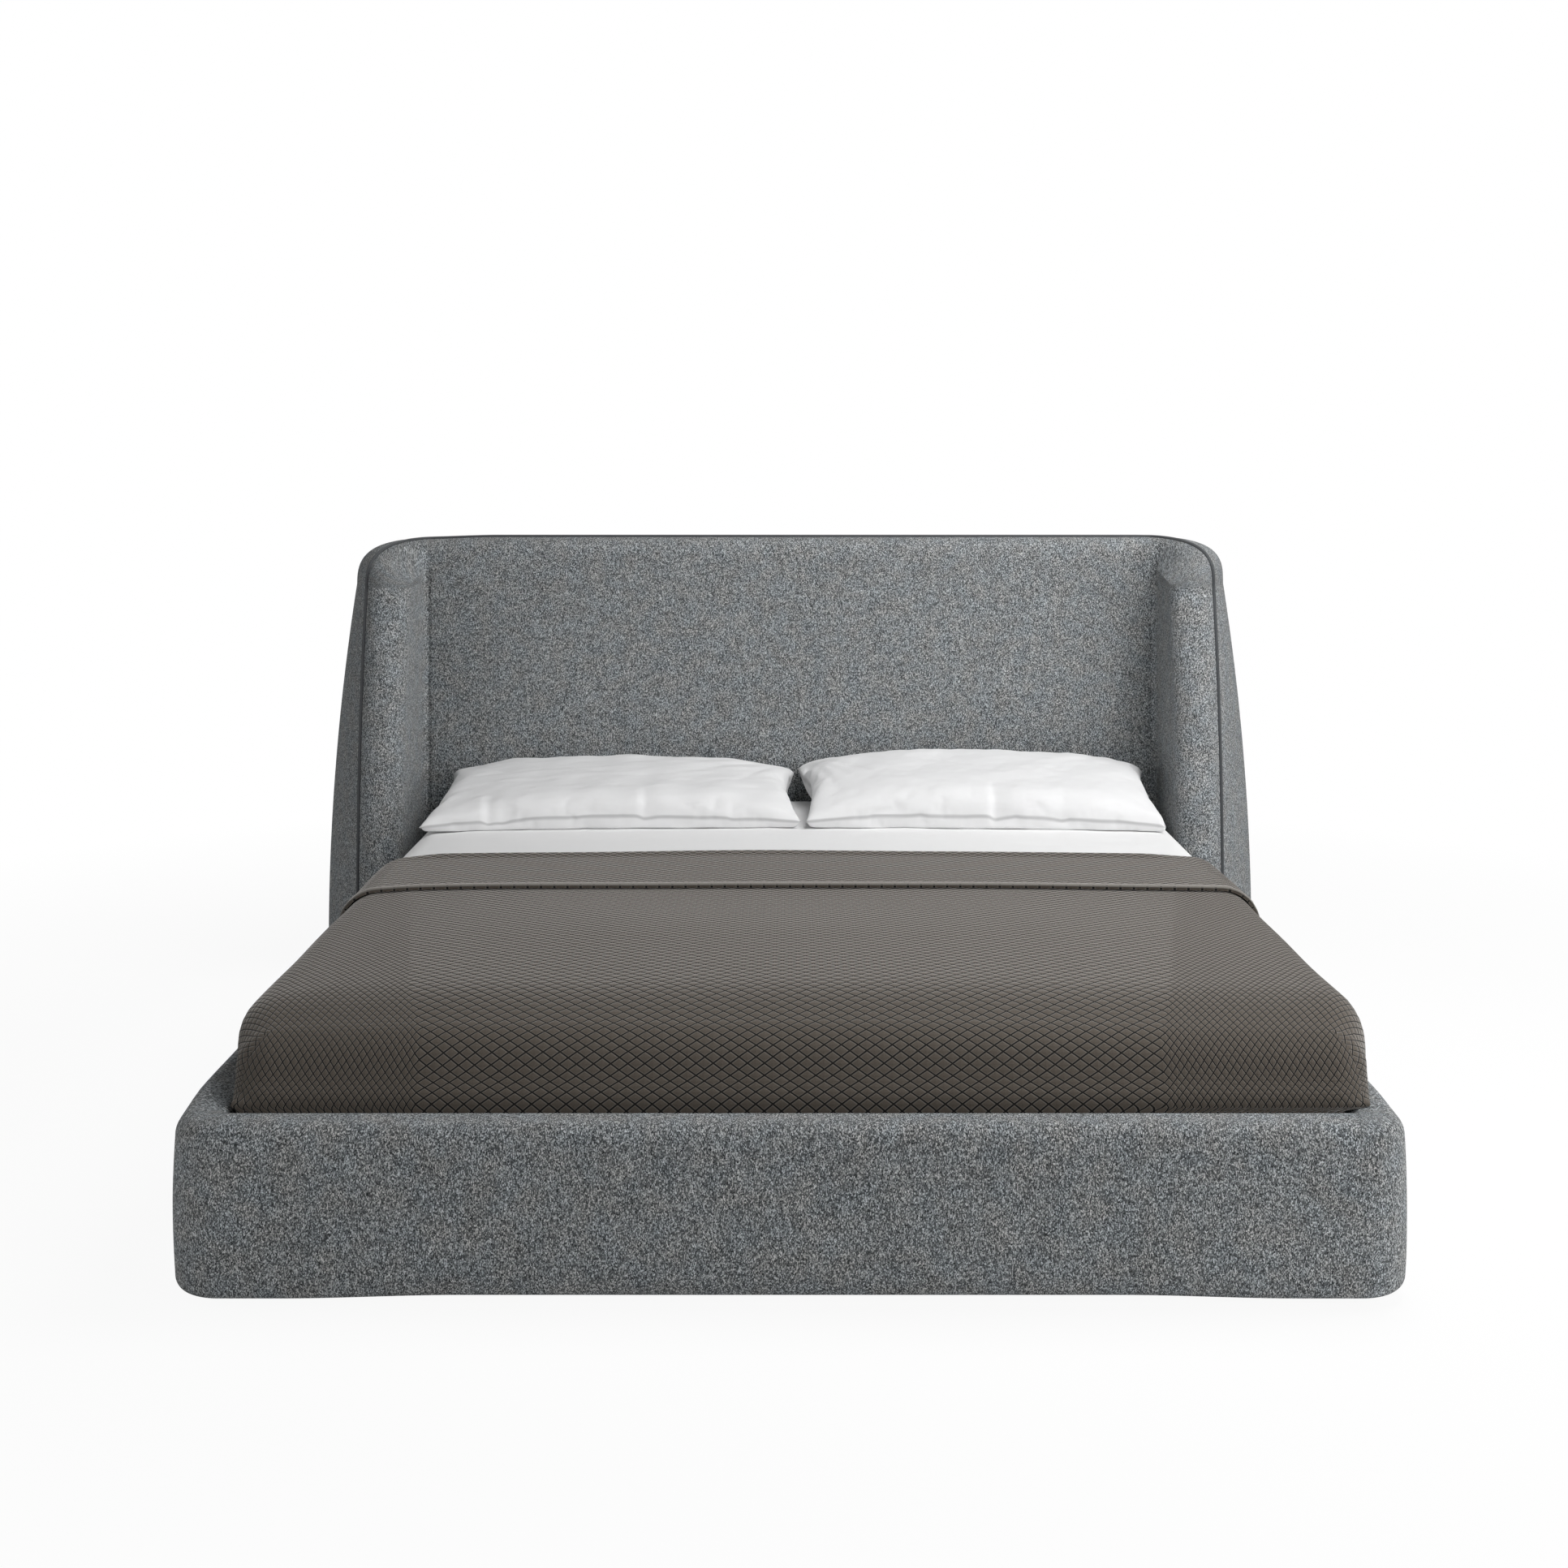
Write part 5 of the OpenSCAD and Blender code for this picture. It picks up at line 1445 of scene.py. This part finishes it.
    def hem(self) -> bpy.types.Object:
        """Builds the plain strip along the folded-back end."""
        s, c = self.sizes, self.cloth()
        drop = np.linspace(0, 0.125, 26)
        base = self.gap + self.thick
        across = np.linspace(-1, 1, 11)
        y = s.hem_y - 0.001 + 0.5 * s.hem_w * (1 - across)
        off = base - 0.001 + 0.0022 * np.sqrt(np.maximum(1 - across ** 2, 0))
        xs = np.linspace(c.left, c.right, 120)
        shape = Shape()
        for pts, uv in self.stripes(c, xs, drop, y, off, y):
            shape.grid(self.shaped(pts), uv)
        piece = shape.build("coverlet_hem_strip", self.finishes.hem, merge=MERGE_AT, sharp=180)
        facing_up(piece.data)
        thicken(piece, self.hem_thick)
        return carried(piece, Body.MATTRESS, "quilt", "coverlet_hem")


def surface(mesh: bpy.types.Mesh) -> float:
    """Total area of a mesh's faces."""
    areas = np.zeros(len(mesh.polygons))
    mesh.polygons.foreach_get("area", areas)
    return float(areas.sum())


def facing_up(mesh: bpy.types.Mesh) -> None:
    """Turns an open cloth so that the greater part of its foot half faces upwards."""
    normals = np.zeros(len(mesh.polygons) * 3)
    centres = np.zeros(len(mesh.polygons) * 3)
    mesh.polygons.foreach_get("normal", normals)
    mesh.polygons.foreach_get("center", centres)
    normals, centres = normals.reshape(-1, 3), centres.reshape(-1, 3)
    low = centres[:, 1] < np.median(centres[:, 1])
    if normals[low, 2].sum() < 0:
        mesh.flip_normals()


def thicken(piece: bpy.types.Object, thick: float) -> None:
    """Gives an open cloth its thickness below its faces, closed at the rim."""
    solid = piece.modifiers.new("thickness", "SOLIDIFY")
    solid.thickness = thick
    solid.offset = -1
    solid.use_rim = True
    flattened(piece)
    piece.data.shade_smooth()
    piece.data.set_sharp_from_angle(angle=math.radians(60))


@dataclass
class Mattress:
    """Mattress with its cover, and the fitted sheet over it."""

    finishes: Finishes
    sizes: Sizes = field(default_factory=lambda: SIZES)
    edge: float = 0.048
    corner: float = 0.060
    sheet_thick: float = 0.0016
    body_inset: float = 0.012
    sheet_inset: float = 0.010
    soft: SoftBed = field(default_factory=SoftBed)

    def outline(self, out: float, steps: int = 8) -> Array:
        """Outline of the mattress, moved outwards."""
        s = self.sizes
        r = max(self.corner + out, 0.02)
        x = s.mattress_w / 2 + out - r
        low, high = s.mattress_foot - out + r, s.mattress_head + out - r
        sides = [((-x, low), 180), ((x, low), 270), ((x, high), 0), ((-x, high), 90)]
        runs = []
        for (c, a), (d, _) in zip(sides, sides[1:] + sides[:1]):
            bend = arc(c, (r, r), a, a + 90, steps)
            end = arc(d, (r, r), a + 90, a + 90, 1)[0]
            straight = mix(bend[-1], end, np.linspace(0, 1, 26)[1:-1, None])
            runs += [bend, straight]
        return np.concatenate(runs)

    def filled(self, points: Array, inset: float) -> Array:
        """Fills the plain form out to the sides and gives it its soft edges."""
        s = self.sizes
        x, y = points[..., 0].copy(), points[..., 1]
        high = smooth((points[..., 2] - s.rail_top - 0.005) / 0.05)
        part = np.clip((np.abs(x) - self.soft.firm)
                       / (s.mattress_w / 2 - self.soft.firm), 0, None)
        reach = self.soft.reach(x, y, inset) - s.mattress_w / 2
        points[..., 0] += np.sign(x) * part * high * np.maximum(reach, 0)
        return self.soft.settled(points, inset)

    def rings(self, levels: Sequence[tuple[float, float]]) -> Array:
        """Rings at pairs of outward shift and height."""
        return np.array([np.column_stack([self.outline(o), np.full(len(self.outline(o)), z)])
                         for o, z in levels])

    def block(self) -> None:
        """Builds the mattress itself, with rounded edges."""
        s, e = self.sizes, self.edge
        low = [(e * math.sin(a) - e, s.base + e * (1 - math.cos(a)))
               for a in np.radians(np.linspace(0, 90, 7))]
        high = [(e * math.cos(a) - e, s.top - e + e * math.sin(a))
                for a in np.radians(np.linspace(0, 90, 7))]
        middle = [(-0.0015 * math.sin(t * math.pi), mix(s.base + e, s.top - e, t))
                  for t in np.linspace(0.1, 0.9, 8)]
        levels = low + middle + high + [(-d, s.top) for d in (0.05, 0.08, 0.12, 0.17, 0.24, 0.34)]
        rings = self.filled(self.rings(levels), self.body_inset)
        rings[..., 2] -= 0.003 * smooth((rings[..., 2] - 0.30) / 0.05)
        uv = self.plain_uv(rings)
        shape = Shape()
        index = shape.grid(rings, uv, closed=True)
        for end in (0, -1):
            shape.cap(index[end], rings[end][:, :2])
        piece = shape.build("mattress_body", self.finishes.ticking)
        carried(piece, Body.MATTRESS, "ticking", "mattress_cover", "mattress_core")

    def plain_uv(self, rings: Array) -> Array:
        """UVs round the outline and up the side."""
        around = lengths(np.vstack([rings[0], rings[0, :1]]))
        up = lengths(rings[:, 0])
        return np.stack(np.meshgrid(around, up, indexing="ij"), -1).transpose(1, 0, 2)

    def sheet(self) -> None:
        """Builds the fitted sheet: top, edges and sides."""
        s, e, t = self.sizes, self.edge, 0.002
        r = e + t
        foot = s.base + e + 0.006
        sides = [(t, z) for z in np.linspace(foot, s.top - e, 12)]
        bend = [(r * math.cos(a) - e, s.top - e + r * math.sin(a))
                for a in np.radians(np.linspace(0, 90, 9))[1:]]
        rings = self.rings(sides + bend)
        shape = Shape()
        shape.grid(rings, self.plain_uv(rings), closed=True)
        rim = rings[-1]
        x = rim[:, 0]
        middle = np.column_stack([np.clip(x, -0.70, 0.70), np.clip(
            rim[:, 1], s.mattress_foot + 0.1, s.mattress_head - 0.1), rim[:, 2]])
        ringed = np.array([mix(rim, middle, d) for d in np.linspace(0, 1, 8)])
        shape.grid(ringed, ringed[..., :2][:, list(range(len(rim))) + [0]], closed=True)
        piece = shape.build("fitted_sheet_cloth", self.finishes.linen, merge=MERGE_AT, sharp=180,
                            closed=False)
        fill_top(piece.data, s.top + t)
        flat = surface(piece.data)
        tidy(piece.data, MERGE_AT)
        wrinkle(piece.data, s.top + t)
        points = np.zeros(len(piece.data.vertices) * 3)
        piece.data.vertices.foreach_get("co", points)
        points = self.filled(points.reshape(-1, 3), self.sheet_inset)
        piece.data.vertices.foreach_set("co", points.ravel())
        facing_up(piece.data)
        thicken(piece, self.sheet_thick)
        carried(piece, Body.MATTRESS, "linen", "fitted_sheet")

    def build(self) -> None:
        """Builds the mattress and its sheet."""
        self.block()
        self.sheet()


def fill_top(mesh: bpy.types.Mesh, z: float) -> None:
    """Closes the hole in a sheet's top with a grid of faces, its UVs its place."""
    work = bmesh.new()
    work.from_mesh(mesh)
    bmesh.ops.remove_doubles(work, verts=work.verts, dist=MERGE_AT)
    rim = [e for e in work.edges if e.is_boundary and min(v.co.z for v in e.verts) > z - 0.002]
    made = bmesh.ops.contextual_create(work, geom=rim)["faces"]
    cuts = made
    for axis, span in ((0, np.linspace(-0.68, 0.68, 69)), (1, np.linspace(-0.9, 0.86, 89))):
        for at in span:
            no = (1, 0, 0) if axis == 0 else (0, 1, 0)
            co = (at, 0, 0) if axis == 0 else (0, at, 0)
            geom = cuts + list({e for f in cuts for e in f.edges}) + \
                list({v for f in cuts for v in f.verts})
            done = bmesh.ops.bisect_plane(work, geom=geom, plane_co=co, plane_no=no)
            cuts = [g for g in done["geom"] if isinstance(g, bmesh.types.BMFace)]
    layer = work.loops.layers.uv.verify()
    for face in cuts:
        for loop in face.loops:
            loop[layer].uv = loop.vert.co.xy
    work.to_mesh(mesh)
    work.free()


def wrinkle(mesh: bpy.types.Mesh, z: float) -> None:
    """Lays faint creases across a sheet's top."""
    co = np.zeros(len(mesh.vertices) * 3)
    mesh.vertices.foreach_get("co", co)
    co = co.reshape(-1, 3)
    flat = smooth((co[:, 2] - z + 0.004) / 0.003)
    co[:, 2] += 0.0010 * flat * (1 + waves(co[:, 0], co[:, 1] * 2.2, 11, 0.16))
    mesh.vertices.foreach_set("co", co.ravel())
    mesh.update()


@dataclass(frozen=True)
class Crease:
    """A fold pinched into a pillow: its start, end, width and depth, steep on its left if 1."""

    start: tuple[float, float]
    end: tuple[float, float]
    wide: float
    deep: float
    steep: float = 0.0


@dataclass
class Pillow:
    """A soft pillow in its case, with knife edges and pointed corners."""

    side: Side
    finishes: Finishes
    front: tuple[tuple[float, float, float], tuple[float, float, float]]
    back: tuple[tuple[float, float, float], tuple[float, float, float]]
    crest: float
    creases: tuple[Crease, ...] = ()
    seam_rise: float = 0.013
    dents: float = 0.003
    fuller: float = 0.75
    under: float = 0.075
    nest: float = 0.010
    sizes: Sizes = field(default_factory=lambda: SIZES)
    blank: tuple[float, float] = (0.90, 0.52)
    cells: tuple[int, int] = (104, 62)
    pressure: float = 2.6
    stiffness: float = 12.0
    frames: int = 24
    seed: int = 5

    def blank_mesh(self) -> tuple[Array, list[tuple[int, ...]], Array]:
        """Makes two flat layers sewn round their rim, a little uneven.

        Returns:
            The points, the faces, and each point's share along both sides and its layer.
        """
        n, m = self.cells
        a, b = np.meshgrid(np.linspace(-1, 1, n), np.linspace(-1, 1, m), indexing="ij")
        rim = (np.abs(a) > 0.9999) | (np.abs(b) > 0.9999)
        full = np.where(rim, 0.0, ((1 - a * a) * (1 - b * b)) ** 0.3)
        x, y = a * self.blank[0] / 2, b * self.blank[1] / 2
        upper = np.arange(n * m).reshape(n, m)
        lower = upper.copy()
        lower[~rim] = n * m + np.arange((~rim).sum())
        top = 0.004 * full + 0.002 * np.where(rim, 0, waves(x, y, self.seed, 0.10, 10))
        low = -0.004 * full + 0.002 * np.where(rim, 0, waves(x, y, self.seed + 9, 0.10, 10))
        points = np.concatenate([np.stack([x, y, top], -1).reshape(-1, 3),
                                 np.stack([x, y, low], -1)[~rim]])
        share = np.concatenate([np.stack([a, b, np.where(rim, 0.0, 1.0)], -1).reshape(-1, 3),
                                np.stack([a, b, np.full(a.shape, -1.0)], -1)[~rim]])
        faces = []
        for i in range(n - 1):
            for j in range(m - 1):
                faces.append((upper[i, j], upper[i + 1, j], upper[i + 1, j + 1], upper[i, j + 1]))
                faces.append((lower[i, j], lower[i, j + 1], lower[i + 1, j + 1], lower[i + 1, j]))
        return points, faces, share

    def puffed(self, points: Array, faces: list[tuple[int, ...]]) -> Array:
        mesh = bpy.data.meshes.new("pillow_blank")
        mesh.from_pydata(points.tolist(), [], faces)
        piece = bpy.data.objects.new("pillow_blank", mesh)
        bpy.context.scene.collection.objects.link(piece)
        cloth = piece.modifiers.new("filling", "CLOTH")
        rules = cloth.settings
        rules.quality, rules.mass, rules.air_damping = 5, 0.25, 4
        rules.tension_stiffness = rules.compression_stiffness = self.stiffness
        rules.shear_stiffness, rules.bending_stiffness = self.stiffness / 2, 0.12
        rules.use_pressure, rules.uniform_pressure_force = True, self.pressure
        rules.effector_weights.gravity = 0
        cloth.point_cache.frame_start, cloth.point_cache.frame_end = 1, self.frames
        for number in range(1, self.frames + 1):
            bpy.context.scene.frame_set(number)
        ready = piece.evaluated_get(bpy.context.evaluated_depsgraph_get())
        out = np.zeros(len(points) * 3)
        ready.data.vertices.foreach_get("co", out)
        bpy.data.objects.remove(piece)
        bpy.context.scene.frame_set(1)
        return out.reshape(-1, 3)

    def laid(self, soft: Array, share: Array) -> Array:
        """Lays the filled case on the sheet between its four corners."""
        n, m = self.cells
        corners = soft[[0, (n - 1) * m, m - 1, n * m - 1], :2]
        wide, deep = np.abs(corners[:, 0]).mean(), np.abs(corners[:, 1]).mean()
        s, t = (soft[:, 0] / wide + 1) / 2, (soft[:, 1] / deep + 1) / 2
        goal = [np.asarray(p) for p in (*self.front, *self.back)]
        weight = [(1 - s) * (1 - t), s * (1 - t), (1 - s) * t, s * t]
        at = sum(w[:, None] * g[None, :] for w, g in zip(weight, goal))
        sheet = self.sizes.pillow_rest
        body = soft[:, 2] / np.percentile(soft[:, 2], 99.8)
        body = np.sign(body) * np.abs(body) ** self.fuller
        seam = at[:, 2] + self.seam_rise * np.sin(np.clip(s, 0, 1) * math.pi)
        up = self.crest - seam.mean()
        rise = np.where(body > 0, body * up, body * self.under)
        soft_part = smooth(np.abs(body) / 0.45)
        rise += self.dents * soft_part * waves(soft[:, 0], soft[:, 1], self.seed + 3, 0.12)
        rise += 0.3 * self.dents * soft_part * waves(soft[:, 0], soft[:, 1] * 1.6,
                                                     self.seed + 4, 0.045, 9)
        z = seam + rise
        low = sheet + self.nest
        z = np.where(z < low, sheet + self.nest * np.exp((z - low) / self.nest), z)
        out = np.stack([at[:, 0], at[:, 1], z], 1)
        for fold in self.creases:
            out = self.folded(out, fold)
        return out

    def folded(self, points: Array, fold: Crease) -> Array:
        """Presses one crease into the pillow from above and in front."""
        a, b = np.asarray(fold.start), np.asarray(fold.end)
        way = b - a
        size = np.linalg.norm(way)
        rel = points[:, :2] - a
        along = np.clip(rel @ way / size ** 2, -0.4, 1.4)
        off = (rel[:, 0] * way[1] - rel[:, 1] * way[0]) / size
        wide = fold.wide * np.where(off < 0, 1 - 0.7 * fold.steep, 1 + 0.3 * fold.steep)
        near = np.exp(-(np.abs(off) / wide) ** 1.5)
        here = smooth((along + 0.25) / 0.35) * smooth((1.1 - along) / 0.8)
        sheet = self.sizes.pillow_rest
        thick = smooth((points[:, 2] - sheet - 0.004) / 0.02)
        points[:, 2] -= fold.deep * near * here * thick
        points[:, 1] += 0.5 * fold.deep * near * here * thick
        return points

    def build(self) -> None:
        """Builds the pillow."""
        blank, faces, share = self.blank_mesh()
        points = self.laid(self.puffed(blank, faces), share)
        name = self.side.name.lower()
        mesh = bpy.data.meshes.new(name)
        mesh.from_pydata(points.tolist(), [], faces)
        layer = mesh.uv_layers.new(name="cloth")
        corner = np.zeros(len(mesh.loops), int)
        mesh.loops.foreach_get("vertex_index", corner)
        layer.data.foreach_set("uv", blank[corner, :2].astype(np.float32).ravel())
        tidy(mesh)
        edge = np.zeros(len(mesh.edges) * 2, int)
        mesh.edges.foreach_get("vertices", edge)
        seam = (share[edge.reshape(-1, 2), 2] == 0).all(1)
        crease = mesh.attributes.new("crease_edge", "FLOAT", "EDGE")
        crease.data.foreach_set("value", seam.astype(np.float32))
        piece = shown(f"pillow_{name}", mesh, self.finishes.pillowcase, 75)
        smoother = piece.modifiers.new("smoother", "SUBSURF")
        smoother.levels = smoother.render_levels = 1
        flattened(piece)
        piece.data.set_sharp_from_angle(angle=math.radians(75))
        body = Body.PILLOW_LEFT if self.side is Side.LEFT else Body.PILLOW_RIGHT
        carried(piece, body, "linen", f"pillow_fill_{name}", f"pillowcase_{name}")


@dataclass
class InnerFrame:
    """Boards, slats, fixings and glides that keep their CAD shape."""

    finishes: Finishes

    def finish_for(self, slot: str) -> bpy.types.Material | None:
        """Returns the finish of a record slot, if its nodes stay in view."""
        f = self.finishes
        return {"timber": f.timber, "birch": f.birch, "steel": f.steel, "plastic": f.plastic,
                "felt": f.felt, "back_cloth": f.lining}.get(slot)

    def build(self) -> None:
        """Gives every shown CAD node its material."""
        for name, slot in NODE_SLOTS.items():
            finish = self.finish_for(slot)
            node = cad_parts[name]
            node.data.materials.clear()
            node.data.materials.append(finish)
            log.info("%s: %s", name, finish.name)


NODE_SLOTS: dict[str, str] = {
    **{name: "timber" for name in (
        "foot_rail_board", "side_rail_board_left", "side_rail_board_right", "corner_blocks",
        "ledger_left", "ledger_right", "headboard_post_left", "headboard_post_right",
        "headboard_top_rail", "headboard_bottom_rail", "headboard_lower_rail",
        "wing_batten_left", "wing_batten_right")},
    **{name: "birch" for name in (
        "slats_left", "slats_right", "headboard_panel", "wing_board_left", "wing_board_right",
        "shell_board_left", "shell_board_right", "wing_ribs_left", "wing_ribs_right")},
    **{name: "steel" for name in (
        "corner_bolts", "ledger_screws", "centre_beam", "beam_hangers", "centre_legs",
        "headboard_brackets", "headboard_bolts")},
    **{name: "plastic" for name in (
        "corner_feet", "leg_glides", "slat_holders_side", "slat_holders_centre",
        "headboard_glides")},
    "foot_glides": "felt",
    "back_cover": "back_cloth",
}


def main() -> None:
    """Builds the studio and the bed in order."""
    logging.basicConfig(level=logging.INFO, format="%(name)s %(message)s")
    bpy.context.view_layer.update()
    Studio().build()
    finishes = Finishes()
    InnerFrame(finishes).build()
    Surround(finishes).build()
    Headboard(finishes).build()
    Mattress(finishes).build()
    Coverlet(finishes).build()
    left_folds = (Crease((-0.672, 0.50), (-0.690, 0.63), 0.020, 0.009, 1.0),
                  Crease((-0.640, 0.50), (-0.640, 0.58), 0.016, 0.008),
                  Crease((-0.330, 0.51), (-0.332, 0.64), 0.022, 0.008, 1.0),
                  Crease((-0.129, 0.52), (-0.131, 0.61), 0.018, 0.005, 1.0),
                  Crease((-0.50, 0.50), (-0.47, 0.57), 0.018, 0.007),
                  Crease((-0.02, 0.93), (-0.30, 0.72), 0.014, 0.005),
                  Crease((-0.05, 0.92), (-0.42, 0.83), 0.012, 0.004),
                  Crease((-0.02, 0.90), (-0.17, 0.62), 0.011, 0.004),
                  Crease((-0.80, 0.93), (-0.52, 0.84), 0.013, 0.005),
                  Crease((-0.79, 0.90), (-0.60, 0.72), 0.012, 0.004))
    right_folds = (Crease((0.456, 0.51), (0.460, 0.66), 0.022, 0.009, 1.0),
                   Crease((0.386, 0.50), (0.394, 0.57), 0.014, 0.009),
                   Crease((0.60, 0.51), (0.62, 0.60), 0.018, 0.006),
                   Crease((0.04, 0.93), (0.12, 0.60), 0.011, 0.006),
                   Crease((0.04, 0.93), (0.22, 0.70), 0.012, 0.006),
                   Crease((0.05, 0.94), (0.34, 0.80), 0.013, 0.005),
                   Crease((0.05, 0.90), (0.17, 0.66), 0.008, 0.003),
                   Crease((0.83, 0.93), (0.60, 0.78), 0.013, 0.004),
                   Crease((0.30, 0.88), (0.55, 0.66), 0.012, 0.003))
    Pillow(Side.LEFT, finishes, front=((-0.824, 0.516, 0.385), (0.024, 0.566, 0.392)),
           back=((-0.822, 0.958, 0.438), (0.010, 0.962, 0.442)), crest=0.472,
           creases=left_folds).build()
    Pillow(Side.RIGHT, finishes, front=((0.036, 0.566, 0.394), (0.840, 0.520, 0.388)),
           back=((0.019, 0.962, 0.450), (0.856, 0.958, 0.446)), crest=0.485, seed=6,
           creases=right_folds, seam_rise=0.011).build()
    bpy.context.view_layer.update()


if __name__ == "__main__":
    main()
